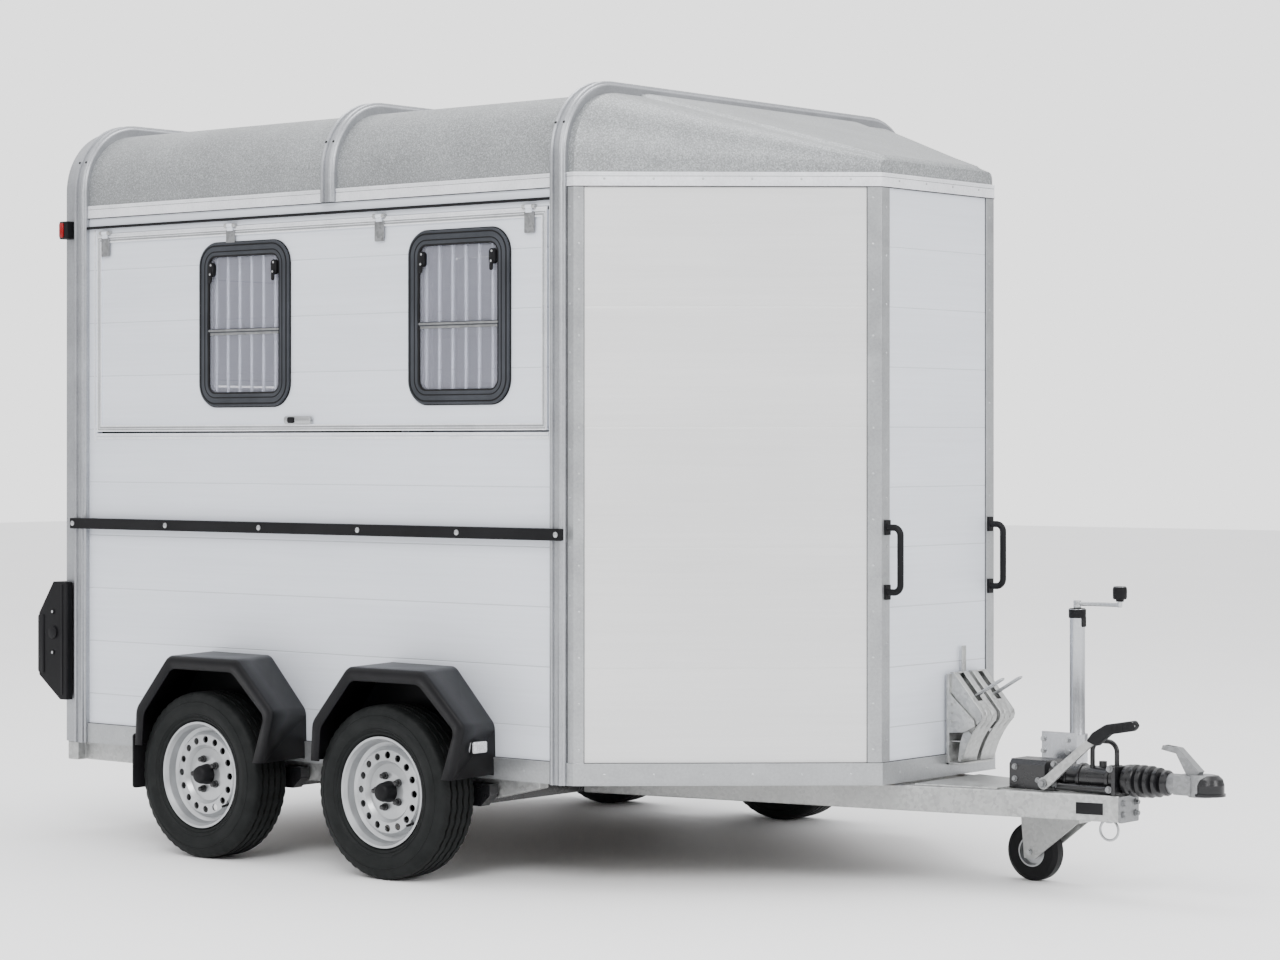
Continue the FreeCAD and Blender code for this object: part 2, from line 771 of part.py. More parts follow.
# Flap hinges: the flap's knuckle turns between two on the wall, round a pin
axis_y = wall - c.flap_axis_out
hinge_half = c.flap_hinge_w / 2
rim_face = wall - c.flap_rim_t
moving_knuckles = []
fixed_knuckles = []
hinge_stations = [
    c.flap_rear + c.flap_hinge_w,
    c.win_rear_x - 69,
    c.win_front_x - 372,
    c.flap_front - c.flap_hinge_in,
]
for x in hinge_stations:
    mid = rod("X", x - 14, axis_y, c.flap_axis_z, c.flap_knuckle_r, 28)
    bore = rod("X", x - 20, axis_y, c.flap_axis_z, c.flap_pin_r + c.pin_play, 40)
    leaf = box(x - 22, x + 22, rim_face - 3, rim_face, flap_z1 - 42, flap_z1)
    neck = box(x - 14, x + 14, axis_y - 3, axis_y + 3, flap_z1 - 8, c.flap_axis_z)
    moving_knuckles.append(cut(fuse(mid, leaf, neck), bore))
    left = rod("X", x - hinge_half, axis_y, c.flap_axis_z, c.flap_knuckle_r, 13)
    right = rod("X", x + 15, axis_y, c.flap_axis_z, c.flap_knuckle_r, 13)
    pin = rod("X", x - hinge_half, axis_y, c.flap_axis_z, c.flap_pin_r, c.flap_hinge_w)
    ear_left = box(x - hinge_half, x - 15, axis_y, wall, c.flap_axis_z, c.flap_axis_z + 7)
    ear_right = box(x + 15, x + hinge_half, axis_y, wall, c.flap_axis_z, c.flap_axis_z + 7)
    fixed_knuckles.append(fuse(left, right, pin, ear_left, ear_right))

# Window frames with a middle bar, the panes, and the bars behind them
frames = []
panes = []
grilles = []
out_y = wall - c.win_proud
win_low = c.win_mid_z - c.win_h / 2
win_high = c.win_mid_z + c.win_h / 2
bar_low = c.win_bar_z - c.win_bar_h / 2
for x in (c.win_rear_x, c.win_front_x):
    ring = pad("XZ", [window_rect(x, size(0)), window_rect(x, c.win_frame)], out_y, -c.half_width)
    collar = pad("XZ", [window_rect(x, window_seat), window_rect(x, c.win_frame)], -c.half_width, -inner)
    half = c.win_w / 2 - c.win_frame
    bar = box(x - half, x + half, out_y + 3, out_y + 9, bar_low, bar_low + c.win_bar_h)
    frames.append(fuse(ring, collar, bar))
    glass_y = out_y + 9
    sheet_low, sheet_high = win_low + c.win_frame, win_high - c.win_frame
    low = box(x - half, x + half, glass_y, glass_y + c.glass_t, sheet_low, sheet_high)
    room = pad("XZ", [window_rect(x, c.win_frame)], out_y, -inner)
    pane = doc.addObject("Part::Common", fresh("common"))
    pane.Base = low
    pane.Tool = room
    panes.append(pane)
    rails = []
    for k in range(-3, 4):
        bar_x = x + c.grille_pitch * k
        rails.append(rod("Z", bar_x, -inner + c.grille_r + 3, win_low - 20, c.grille_r, c.win_h + 40))
    for z in (win_low - 20, win_high + 2):
        rails.append(box(x - c.win_w / 2, x + c.win_w / 2, -inner, -inner + 4, z, z + 18))
    grilles.append(fuse(*rails))
both("side_flap", fuse(flap_panel, flap_rim, *(moving_knuckles + grilles)))
both("window_frames", fuse(*frames))
both("window_panes", fuse(*panes))

# Rear ramp, hung at its foot, and the top flap, hung under the roof
ramp_x1 = c.rear_x - c.ramp_gap
ramp_x0 = ramp_x1 - c.ramp_t
ramp_mid = (ramp_x0 + ramp_x1) / 2
ramp_z0 = c.ramp_hinge_z + c.knuckle_r + c.leaf_gap
ramp_half = c.door_half + c.ramp_lap
ramp_top = c.ramp_split - c.leaf_gap / 2
ramp_panel = box(ramp_x0, ramp_x1, -ramp_half, ramp_half, ramp_z0, ramp_top)
ramp_hinges = (-720, -240, 240, 720)


def ramp_knuckles(z, above):
    """Knuckles of a rear leaf above or below its hinge line, and the portal's knuckles and pins."""
    reach = c.knuckle_r + c.leaf_gap + 2
    neck_low, neck_high = (z, z + reach) if above else (z - reach, z)
    moving = []
    fixed = []
    for place in ramp_hinges:
        y = c.door_half * place / 885
        mid = rod("Y", ramp_mid, y - 30, z, c.knuckle_r, 60)
        neck = box(ramp_mid - 6, ramp_mid + 6, y - 30, y + 30, neck_low, neck_high)
        bore = rod("Y", ramp_mid, y - 40, z, c.pin_r + c.pin_play, 80)
        moving.append(cut(fuse(mid, neck), bore))
        for start in (y - 62, y + 32):
            ear = rod("Y", ramp_mid, start, z, c.knuckle_r, 30)
            arm = box(ramp_mid, c.rear_x, start, start + 30, z - 6, z + 6)
            fixed += [ear, arm]
        fixed.append(rod("Y", ramp_mid, y - 62, z, c.pin_r, 124))
    return moving, fixed


low_moving, low_fixed = ramp_knuckles(c.ramp_hinge_z, True)
node("ramp", fuse(ramp_panel, *low_moving))
top_z0 = c.ramp_split + c.leaf_gap / 2
top_z1 = c.flap_top_z - c.knuckle_r - c.leaf_gap
top_panel = pad("YZ", [arch(ramp_half, top_z0, top_z1, c.door_r + 20)], ramp_x0, ramp_x1)
top_moving, top_fixed = ramp_knuckles(c.flap_top_z, False)
node("top_flap", fuse(top_panel, *top_moving))
side_hinges = fixed_knuckles + [mirrored(k) for k in fixed_knuckles]
node("hinges", fuse(*low_fixed), fuse(*top_fixed), *side_hinges)

# Wheels: tyre, rim and hub, modelled about their own axis and then set on the spindle
tyre_half = c.tyre_w / 2
rim_half = c.rim_w / 2
bead = c.rim_r - 12
seat = rim_half - 9.5
spindle_bore = c.spindle_r + c.run_fit

# Half of the tyre's outline from the bead to the tread, as (distance from the middle, radius)
tyre_side = [
    (seat, bead),
    (seat, c.rim_r + 0.5),
    (tyre_half - 12, c.rim_r + 3),
    (tyre_half - 1, bead + 50),
    (tyre_half, c.tyre_r - 52),
    (tyre_half - 8, c.tyre_r - 20),
    (tyre_half - 22, c.tyre_r - 5),
    (tyre_half - 40, c.tyre_r),
]

# Rim and dished disc, from the outer flange inwards and back along the well
rim_outline = [
    (rim_half, c.rim_r),
    (rim_half, c.rim_r - 8),
    (rim_half - 14, c.rim_r - 16),
    (rim_half - 40, c.rim_r - 22),
    (rim_half - 48, c.rim_r - 34),
    (rim_half - 32, c.rim_r - 48),
    (rim_half - 30, c.rim_r - 84),
    (rim_half - 44, 94),
    (rim_half - 40, 66),
    (rim_half - 40, 34),
    (rim_half - 46, 34),
    (rim_half - 46, 68),
    (rim_half - 51, 96),
    (rim_half - 37, c.rim_r - 82),
    (rim_half - 39, c.rim_r - 50),
    (rim_half - 56, c.rim_r - 36),
    (rim_half - 58, c.rim_r - 28),
    (-rim_half + 20, c.rim_r - 24),
    (-rim_half + 8, c.rim_r - 16),
    (-rim_half, c.rim_r - 8),
    (-rim_half, c.rim_r),
    (-rim_half + 5, c.rim_r),
    (-rim_half + 9, bead),
    (-rim_half + 26, bead - 2),
    (rim_half - 50, bead - 8),
    (rim_half - 26, bead - 2),
    (rim_half - 9, bead),
    (rim_half - 5, c.rim_r),
]

# Hub behind the disc, with the grease cap's seat through it
hub_outline = [
    (rim_half - 110, spindle_bore),
    (rim_half - 110, 38),
    (rim_half - 62, 38),
    (rim_half - 58, 72),
    (rim_half - 46, 72),
    (rim_half - 46, 34),
    (rim_half - 22, 31),
    (rim_half - 8, 29),
    (rim_half + 4, 24),
    (rim_half + 4, 8),
    (rim_half - 8, 8),
    (rim_half - 8, spindle_bore),
]
RIM_HOLES = 16


def wheel(label, x, side):
    """Tyre, rim and hub at one corner; side is -1 on the right and 1 on the left."""
    tyre = turned([(-y, r) for y, r in tyre_side] + [(y, r) for y, r in reversed(tyre_side)])
    disc = turned([(y * side, r) for y, r in rim_outline])
    holes = []
    for k in range(RIM_HOLES):
        turn = 2 * math.pi * k / RIM_HOLES
        hole_x = c.rim_hole_ring * math.cos(turn)
        hole_z = c.rim_hole_ring * math.sin(turn)
        low = rim_half - 70 if side > 0 else -rim_half + 10
        holes.append(rod("Y", hole_x, low, hole_z, c.rim_hole_r, 60))
    hub = turned([(y * side, r) for y, r in hub_outline])
    rim = fuse(cut(disc, fuse(*holes)), hub)
    for piece, name in ((tyre, "tyre_"), (rim, "rim_")):
        made = node(name + label, piece)
        moved(made, c.axle_station + x, c.tyre_y * side, c.tyre_r)


half_pitch = c.axle_pitch / 2
wheel("front_right", half_pitch, -1)
wheel("rear_right", -half_pitch, -1)
wheel("front_left", half_pitch, 1)
wheel("rear_left", -half_pitch, 1)

# Axles: a square tube across the frame, a trailing arm at each end and the spindle in the hub
half_tube = c.axle_tube / 2
arm_out = c.tyre_y - c.tyre_w / 2 - c.arm_gap
arm_in = arm_out - c.arm_t


def axle(x):
    """One rubber-sprung axle with trailing arms, brake drums and spindles."""
    tube_x = x + c.arm_len
    tube_low = c.axle_z - half_tube
    tube = box(tube_x - half_tube, tube_x + half_tube, -arm_in, arm_in, tube_low, tube_low + c.axle_tube)
    arm = pad("XZ", [[
        (x - 32, c.tyre_r - 34),
        (x + 40, c.tyre_r - 36),
        (tube_x - 30, c.axle_z - 40),
        (tube_x + 42, c.axle_z - 40),
        (tube_x + 84, c.axle_z - 2),
        (tube_x + 84, c.axle_z + 36),
        (tube_x - 50, c.axle_z + 36),
        (x + 40, c.tyre_r + 36),
        (x - 32, c.tyre_r + 34),
    ]], -arm_out, -arm_in)
    spindle_end = c.tyre_y + rim_half - 12
    spindle = rod("Y", x, -spindle_end, c.tyre_r, c.spindle_r, spindle_end - arm_in - 5)
    plate_y = c.tyre_y + rim_half - 114
    plate = rod("Y", x, -plate_y, c.tyre_r, c.drum_r + 8, 12)
    drum = cut(
        rod("Y", x, -plate_y - c.drum_t, c.tyre_r, c.drum_r, c.drum_t + 2),
        rod("Y", x, -plate_y - c.drum_t - 8, c.tyre_r, 44, c.drum_t + 8),
    )
    return fuse(tube, *pair(fuse(arm, spindle, plate, drum)))


node("axles", axle(half_pitch), axle(-half_pitch))


# Mudguards: a ruled form between the outline at the wall and the outline at the outer face
def guard_points(outer, inset):
    """Outline of a mudguard about its wheel's station, inset by a distance."""
    top = c.guard_top.value - inset
    rear = c.guard_rear.value
    foot = c.guard_top.value - c.guard_foot.value
    if outer:
        return [
            (-rear + inset, foot),
            (-rear + 8 + inset, foot + 135 - inset * 0.4),
            (-132 + inset * 0.5, top),
            (228 - inset * 0.5, top),
            (rear + 103 - inset, foot + 158 - inset * 0.4),
            (rear + 45 - inset, foot - 26),
        ]
    return [
        (-rear + inset, foot),
        (-rear + 8 + inset, foot + 135 - inset * 0.4),
        (-150 + inset * 0.5, top + 4),
        (165 - inset * 0.5, top + 2),
        (rear + 34 - inset, foot + 145 - inset * 0.4),
        (rear + 38 - inset, foot - 22),
    ]


def guard_wire(points, x, y):
    """The closed wire of a mudguard outline at one station along Y."""
    places = [FreeCAD.Vector(x + px, y, pz) for px, pz in points]
    return Part.makePolygon(places + [places[0]])


def lowered(points, drop):
    """The outline with its two lowest corners lower by a drop."""
    return [(px, pz - drop if i in (0, 5) else pz) for i, (px, pz) in enumerate(points)]


def guard_block(x):
    """The solid form of one mudguard."""
    wall_wire = guard_wire(guard_points(False, 0), x, -c.half_width.value)
    out_wire = guard_wire(guard_points(True, 0), x, -c.guard_out.value)
    return Part.makeLoft([wall_wire, out_wire], True, True)


def guard(x):
    """One mudguard, open below and at its wheel side."""
    t = c.guard_t.value
    lip = c.guard_lip.value
    proud = c.sill_proud.value
    wall_y, out_y = -c.half_width.value, -c.guard_out.value
    low_wall = guard_wire(lowered(guard_points(False, t), 40), x, wall_y + 1)
    low_out = guard_wire(lowered(guard_points(True, t), 40), x, out_y + t)
    room = Part.makeLoft([low_wall, low_out], True, True)
    face = lowered(guard_points(True, lip), 60)
    mouth = Part.makeLoft([guard_wire(face, x, out_y - 1), guard_wire(face, x, out_y + t + 1)], True, True)
    rail_corner = FreeCAD.Vector(x - 600, wall_y - proud, c.sill_high.value - 300)
    rail = Part.makeBox(1200, proud + 1, 300, rail_corner)
    return shaped(guard_block(x).cut(room).cut(mouth).cut(rail))


front_guard = guard(half_pitch.value)
rear_guard = guard(-half_pitch.value)
flap_x = -half_pitch - c.guard_rear
flap_top = c.guard_top - c.mud_flap_drop
mud_flap = box(
    flap_x - 8, flap_x + 6, -c.guard_out + 4, wall - c.sill_proud - 2, flap_top - c.mud_flap_h, flap_top)
node("mudguards", *(pair(front_guard) + pair(fuse(rear_guard, mud_flap))))

# Frame: two drawbar beams that meet in a vee, and a rail along each side of the floor
def beam_y(x):
    """Outer face of a drawbar beam at a station."""
    return c.beam_tip_half + (c.beam_tip_x - x) * c.beam_slope


floor_low = c.floor_top - c.floor_t
beam_low = c.beam_top - c.beam_h
beam = pad("XY", [[
    (c.beam_rear_x, -beam_y(c.beam_rear_x)),
    (c.beam_tip_x, -c.beam_tip_half),
    (c.beam_tip_x, -c.beam_tip_half + c.beam_w),
    (c.beam_rear_x, -beam_y(c.beam_rear_x) + c.beam_w),
]], beam_low, c.beam_top)
notches = []
for x in (half_pitch + c.arm_len, -half_pitch + c.arm_len):
    notches.append((x - half_tube, x + half_tube, c.axle_z + half_tube))
(front0, front1, notch_top), (rear0, rear1, _) = notches
rail = pad("XZ", [[
    (c.rear_x, c.rail_low),
    (rear0, c.rail_low), (rear0, notch_top), (rear1, notch_top), (rear1, c.rail_low),
    (front0, c.rail_low), (front0, notch_top), (front1, notch_top), (front1, c.rail_low),
    (c.rail_front - 190, c.rail_low),
    (c.rail_front, c.rail_low + 44),
    (c.rail_front, floor_low),
    (c.hoop_rear_x, floor_low),
    (c.hoop_rear_x, c.sill_low),
    (c.rear_x, c.sill_low),
]], -c.rail_out, -c.rail_out + c.rail_w)
rail_foot = box(c.rear_x, c.hoop_rear_x, -c.half_width, -c.rail_out, c.rail_low, c.sill_low)
node("chassis", *(pair(beam) + pair(fuse(rail, rail_foot))))

# Bearers across the frame under the floor, the tie between the beams and the plate on their tops
rail_in = c.rail_out - c.rail_w
bearer_places = [
    (c.rear_x + 93, rail_in),
    (-half_pitch - 398, rail_in),
    (-half_pitch + 62, rail_in),
    (half_pitch - 392, rail_in),
    (half_pitch + 48, rail_in),
    (c.rail_front - 15, rail_in),
    (c.corner_x + 100, c.half_width * 0.56),
    (c.nose_x - 321.5, c.half_width * 0.4),
]
bearers = []
for x, reach in bearer_places:
    bearers.append(box(x, x + c.runner_w, -reach, reach, c.beam_top, floor_low))
tie_x = c.nose_x - 581.5
tie_y = beam_y(tie_x + c.runner_w) - c.beam_w
tie = box(tie_x, tie_x + c.runner_w, -tie_y, tie_y, beam_low + 8, c.beam_top)
plate_rear = c.housing_rear - 288
plate_y0 = beam_y(plate_rear) - 8
plate_y1 = beam_y(c.housing_rear) - 8
plate = pad("XY", [[
    (plate_rear, -plate_y0),
    (c.housing_rear, -plate_y1),
    (c.housing_rear, plate_y1),
    (plate_rear, plate_y0),
]], c.beam_top, c.beam_top + c.beam_plate_t)
node("cross_members", tie, plate, *bearers)

# Overrun housing on the drawbar's tip: a box, a ribbed cylinder and a front flange
lug = box(c.housing_mid, c.lever_x + 25, -c.housing_half - 4, -20, c.beam_top, c.lever_z + 22)
rear_box = pad("YZ", [[
    (-c.housing_half, c.beam_top),
    (c.housing_half, c.beam_top),
    (c.housing_half, c.housing_top - 16),
    (c.housing_half - 14, c.housing_top),
    (-c.housing_half + 14, c.housing_top),
    (-c.housing_half, c.housing_top - 16),
]], c.housing_rear, c.housing_mid)
cylinder = rod("X", c.housing_mid, 0, c.shaft_z, c.cylinder_r, c.housing_front - c.housing_mid)
rib_places = (c.housing_mid + 55, c.housing_mid + 105, c.housing_front - 51)
ribs = [rod("X", x, 0, c.shaft_z, c.cylinder_r + 6, 12) for x in rib_places]
flange_x = c.housing_front - 14
flange = box(flange_x, flange_x + 14, -c.housing_half, c.housing_half, c.beam_top, c.housing_top - 4)
damper = rod("X", c.housing_mid, -c.housing_half + 13, c.beam_top + 15, 12, c.housing_front - c.housing_mid)
keel = box(c.housing_mid, c.housing_front, -30, 30, c.beam_top, c.shaft_z - 30)
filler = rod("Z", c.housing_front - 81, 0, c.shaft_z + 30, 13, 26)
clip = box(c.housing_front - 27, c.housing_front - 11, -34, 6, c.shaft_z + 30, c.housing_top - 2)
lever_pin = rod("Y", c.lever_x, c.lever_y - 12, c.lever_z, c.lever_pin_r, 50)
node("overrun_housing", fuse(rear_box, cylinder, flange, damper, keel, filler, clip, lug, lever_pin, *ribs))

# Bellows over the drawtube, the soft cap on the coupling's nose and the brake cable's arch
rib_radii = [46, 53, 53, 52, 48, 42]
rib_pitch = (c.bellows_end - c.housing_front) / len(rib_radii)
bellows_profile = []
for i, r in enumerate(rib_radii):
    start = c.housing_front + rib_pitch * i
    bellows_profile.append((start, r - 13))
    bellows_profile.append((start + rib_pitch * 0.3, r))
    bellows_profile.append((start + rib_pitch * 0.7, r))
bellows_profile += [(c.bellows_end, 36), (c.bellows_end, c.shaft_r + 2), (c.housing_front, c.shaft_r + 2)]
bellows = moved(turned(bellows_profile, "X"), 0, 0, c.shaft_z)
head_low = c.shaft_z - 35
head_top = c.shaft_z + 35
cap_x = c.nose_tip - c.cap_r - c.cap_lip
dome = moved(turned([
    (0, head_low + 4),
    (c.cap_r + c.cap_lip, head_low + 4),
    (c.cap_r + c.cap_lip, head_low + 12),
    (c.cap_r, head_low + 14),
    (c.cap_r, head_top - 30),
    (c.cap_r - 5, head_top - 12),
    (c.cap_r - 18, head_top),
    (0, head_top + 4),
], "Z"), cap_x, 0, 0)
head_room = rod("Z", c.head_end, 0, head_low - 20, c.head_r + 0.4, 140)
rear_room = box(c.head_end - 100, c.head_end, -80, 80, head_low - 20, head_top + 40)
cap = cut(dome, head_room, rear_room)
cable_rear = c.housing_front - 111
cable_front = c.housing_front - 19
cable = cut(bent([
    (cable_rear, -16, c.shaft_z + 30),
    (cable_rear, -16, c.cable_top),
    (cable_front, -16, c.cable_top),
    (cable_front, -16, c.housing_top - 2),
], c.cable_r, 34), cylinder)
node("soft_covers", bellows, cap, cable)

# Coupling: drawtube, neck, ball housing with its socket, and the release lever over it
shaft = rod("X", c.housing_front, 0, c.shaft_z, c.shaft_r, c.bellows_end - c.housing_front + 60)
neck = rod("X", c.bellows_end, 0, c.shaft_z, 33, 60)
cheek = box(c.bellows_end + 30, c.head_end, -38, 38, head_low + 4, head_top - 4)
ball_house = rod("Z", c.head_end, 0, head_low, c.head_r, head_top - head_low)
release = pad("XZ", [[
    (c.head_end - 10, head_top - 6),
    (c.head_end, head_top + 10),
    (c.head_end - 77, head_top + 82),
    (c.head_end - 133, head_top + 88),
    (c.head_end - 139, head_top + 74),
    (c.head_end - 85, head_top + 64),
    (c.head_end - 45, head_top - 6),
]], -17, 17)
release_hole = box(c.head_end - 129, c.head_end - 89, -9, 9, head_top + 54, head_top + 94)
socket = rod("Z", c.head_end, 0, head_low - 5, c.ball_r + 0.4, 46)
node("coupling_head", cut(fuse(shaft, neck, cheek, ball_house, cut(release, release_hole)), socket))

# Handbrake lever, on a pivot beside the housing
lever = pad("XZ", [[
    (c.lever_x - 17, c.lever_z + 6),
    (c.lever_x + 17, c.lever_z - 12),
    (c.lever_x + 199, c.lever_z + 148),
    (c.lever_x + 175, c.lever_z + 160),
]], c.lever_y - c.lever_t / 2, c.lever_y + c.lever_t / 2)
grip = pad("XZ", [[
    (c.lever_x + 168, c.lever_z + 152),
    (c.lever_x + 204, c.lever_z + 138),
    (c.lever_x + 252, c.lever_z + 178),
    (c.lever_x + 340, c.lever_z + 194),
    (c.lever_x + 352, c.lever_z + 208),
    (c.lever_x + 342, c.lever_z + 222),
    (c.lever_x + 240, c.lever_z + 204),
    (c.lever_x + 192, c.lever_z + 176),
]], c.lever_y - c.grip_t / 2, c.lever_y + c.grip_t / 2)
eye = rod("Y", c.lever_x, c.lever_y - c.lever_t / 2, c.lever_z, 20, c.lever_t)
lever_bore = rod("Y", c.lever_x, c.lever_y - 30, c.lever_z, c.lever_pin_r + c.run_fit, 60)
node("handbrake_lever", cut(fuse(lever, grip, eye), lever_bore))

# Jockey wheel: bracket and clamp on the drawbar, outer tube, stem, fork and wheel
bracket_back = c.jockey_y - 69
clamp_top = c.clamp_low + c.clamp_h
bore_r = c.jockey_stem_r + c.run_fit
foot = box(c.jockey_x - 88, c.jockey_x + 44, bracket_back - 76, bracket_back, c.beam_top, c.beam_top + 10)
upright = box(c.jockey_x - 92, c.jockey_x + 44, bracket_back - 8, bracket_back, c.beam_top, clamp_top + 9)
jaw = box(c.jockey_x - 34, c.jockey_x + 34, bracket_back, c.jockey_y, c.clamp_low, clamp_top)
strap = rod("Z", c.jockey_x, c.jockey_y, c.clamp_low, c.jockey_tube_r + 9, c.clamp_h)
outer_tube = rod("Z", c.jockey_x, c.jockey_y, c.jockey_tube_low, c.jockey_tube_r, c.jockey_tube_len)
tube_bore = rod("Z", c.jockey_x, c.jockey_y, c.jockey_tube_low - 5, bore_r, c.jockey_tube_len - 30)
tube_cap = rod("Z", c.jockey_x, c.jockey_y, c.jockey_tube_top - 24, c.jockey_tube_r + 3, 24)
node("jockey_holder", cut(fuse(foot, upright, jaw, strap, outer_tube, tube_cap), tube_bore))
crank_z = c.jockey_tube_top + 18
crank_x = c.jockey_x + c.crank_arm
node("jockey_crank", fuse(
    rod("Z", c.jockey_x, c.jockey_y, c.jockey_tube_top + 0.3, 13, 28),
    rod("X", c.jockey_x, c.jockey_y, crank_z, 7, c.crank_arm),
    rod("Z", crank_x, c.jockey_y, crank_z - 8, 8, 36),
    rod("Z", crank_x, c.jockey_y, crank_z + 20, 21, 42),
))
stem_low = c.jockey_wheel_r * 2 + 22
stem_top = c.jockey_tube_low + c.jockey_overlap
node("jockey_stem", rod("Z", c.jockey_x, c.jockey_y, stem_low, c.jockey_stem_r, stem_top - stem_low))
fork_half = c.jockey_wheel_w / 2 + 4
fork_t = 5
wheel_x = c.jockey_x - c.jockey_trail
fork_near = c.jockey_y - fork_half - fork_t
fork_far = c.jockey_y + fork_half + fork_t
fork_top = box(wheel_x - 34, c.jockey_x + 30, fork_near, fork_far, stem_low - 12, stem_low - 0.3)
cheek_outline = [
    (wheel_x - 22, c.jockey_wheel_r - 22),
    (wheel_x + 22, c.jockey_wheel_r - 22),
    (c.jockey_x + 26, stem_low - 10),
    (wheel_x - 34, stem_low - 10),
]
near_cheek = pad("XZ", [cheek_outline], fork_near, fork_near + fork_t)
far_cheek = pad("XZ", [cheek_outline], fork_far - fork_t, fork_far)
axle_start = c.jockey_y - fork_half - 8
fork_axle = rod("Y", wheel_x, axle_start, c.jockey_wheel_r, c.jockey_axle_r, fork_half * 2 + 16)
node("jockey_fork", fuse(fork_top, fork_axle, near_cheek, far_cheek))
jw = c.jockey_wheel_w / 2
jr = c.jockey_wheel_r
axle_bore = c.jockey_axle_r + c.run_fit
jockey_tyre = turned([(-jw, 52), (-jw, jr - 14), (-jw + 12, jr), (jw - 12, jr), (jw, jr - 14), (jw, 52)])
jockey_rim = turned([
    (-jw, axle_bore),
    (-jw, 20),
    (-5, 24),
    (-5, 44),
    (-jw + 2, 47),
    (-jw + 2, 52),
    (jw - 2, 52),
    (jw - 2, 47),
    (5, 44),
    (5, 24),
    (jw, 20),
    (jw, axle_bore),
])
for label, piece in (("jockey_tyre", jockey_tyre), ("jockey_rim", jockey_rim)):
    moved(node(label, piece), c.axle_station + wheel_x, c.jockey_y, c.jockey_wheel_r)

# Grab handles on the front corners: a bent tube on two feet
grab_y = -(c.nose_half - 26)
grab_back = c.nose_x + 5
bow = bent([
    (grab_back + 4, grab_y, c.grab_low + 25),
    (grab_back + c.grab_out, grab_y, c.grab_low + 25),
    (grab_back + c.grab_out, grab_y, c.grab_high - 25),
    (grab_back + 4, grab_y, c.grab_high - 25),
], c.grab_r, 26)
feet = [
    box(grab_back, grab_back + 7, grab_y - 15, grab_y + 15, c.grab_low, c.grab_low + 50),
    box(grab_back, grab_back + 7, grab_y - 15, grab_y + 15, c.grab_high - 50, c.grab_high),
]
handle = fuse(bow, *feet)
node("grab_handles", handle, mirrored(handle))

# Rear lamp housings round the corner posts, the upper side lamps and the lamps on the front mudguards
lamp_outline = [
    (c.hoop_rear_x - 5, 512),
    (c.hoop_rear_x - 5, 960),
    (c.rear_x - 27, 960),
    (c.rear_x - 110, 838),
    (c.rear_x - 110, 604),
    (c.rear_x + 14, 512),
]
lamp_side = c.half_width + c.hoop_side
lamp = cut(
    pad("XZ", [lamp_outline], -lamp_side - 30, -c.half_width + 90),
    box(c.rear_x, c.hoop_rear_x + 100, -lamp_side, 0, 0, 2000),
)
top_lamp = box(c.rear_x + 4, c.hoop_rear_x - 8, wall - 48, wall - 8, c.wall_top - 76, c.wall_top - 8)
marker_x = half_pitch.value + 342
marker_y = -c.guard_out.value + 70
marker_z = c.guard_top.value - 273
marker = Part.makeBox(46, 70, 42, FreeCAD.Vector(marker_x, marker_y, marker_z))
marker_lamp = shaped(marker.cut(guard_block(half_pitch.value)))
node("lamps", *(pair(lamp) + pair(top_lamp) + pair(marker_lamp)))


# Wheel chocks in their holder on the front panel: each wedge is hollowed to sit against a tyre
holder_back = c.nose_x + c.sill_proud
holder_front = holder_back + 6


def chock(y):
    """One chock, standing on its tip with its curved face to the front."""
    wedge = pad("XZ", [[
        (holder_front, 708),
        (holder_front, 452),
        (c.nose_x + 48, 402),
        (c.nose_x + 66, 402),
        (c.nose_x + 152, 548),
        (c.nose_x + 152, 572),
        (c.nose_x + 34, 708),
    ]], y, y + c.chock_w)
    tread = rod("Y", c.nose_x + 356, y - 5, 334, c.tyre_r, c.chock_w + 10)
    grooves = []
    for depth in (c.chock_w / 3 - 3, c.chock_w * 2 / 3 - 3):
        grooves.append(box(c.nose_x + 120, c.nose_x + 160, y + depth, y + depth + 6, 520, 600))
    return cut(wedge, tread, *grooves)


near_y = c.chock_y
far_y = c.chock_y + c.chock_pitch
holder_side = pad("XZ", [[
    (holder_back, 400),
    (holder_back + 30, 400),
    (holder_back + 34, 500),
    (holder_back + 98, 520),
    (holder_back, 640),
]], near_y - 9, near_y - 4)
holder = fuse(
    box(holder_back, holder_front, near_y - 9, far_y + c.chock_w + 6, 392, 700),
    box(holder_back, holder_back + 52, near_y - 9, far_y + c.chock_w + 6, 392, 401),
    holder_side,
)
node("chocks", holder, chock(near_y), chock(far_y))

doc.recompute()
problems = []
for thing in doc.Objects:
    if "Invalid" in thing.State or "Error" in thing.State:
        problems.append("%s %s" % (thing.Name, thing.State))
for label, thing in nodes.items():
    if thing.Shape.isNull() or not thing.Shape.isValid() or not thing.Shape.Solids:
        problems.append("%s has no valid solid" % label)
if problems:
    raise RuntimeError("; ".join(problems))

os.makedirs("parts", exist_ok=True)
for label, thing in nodes.items():
    thing.Shape.exportStep(os.path.join("parts", label + ".step"))
print("%d nodes" % len(nodes))
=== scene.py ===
import math

import bmesh
import bpy
from mathutils import Matrix, Vector
from mathutils.bvhtree import BVHTree


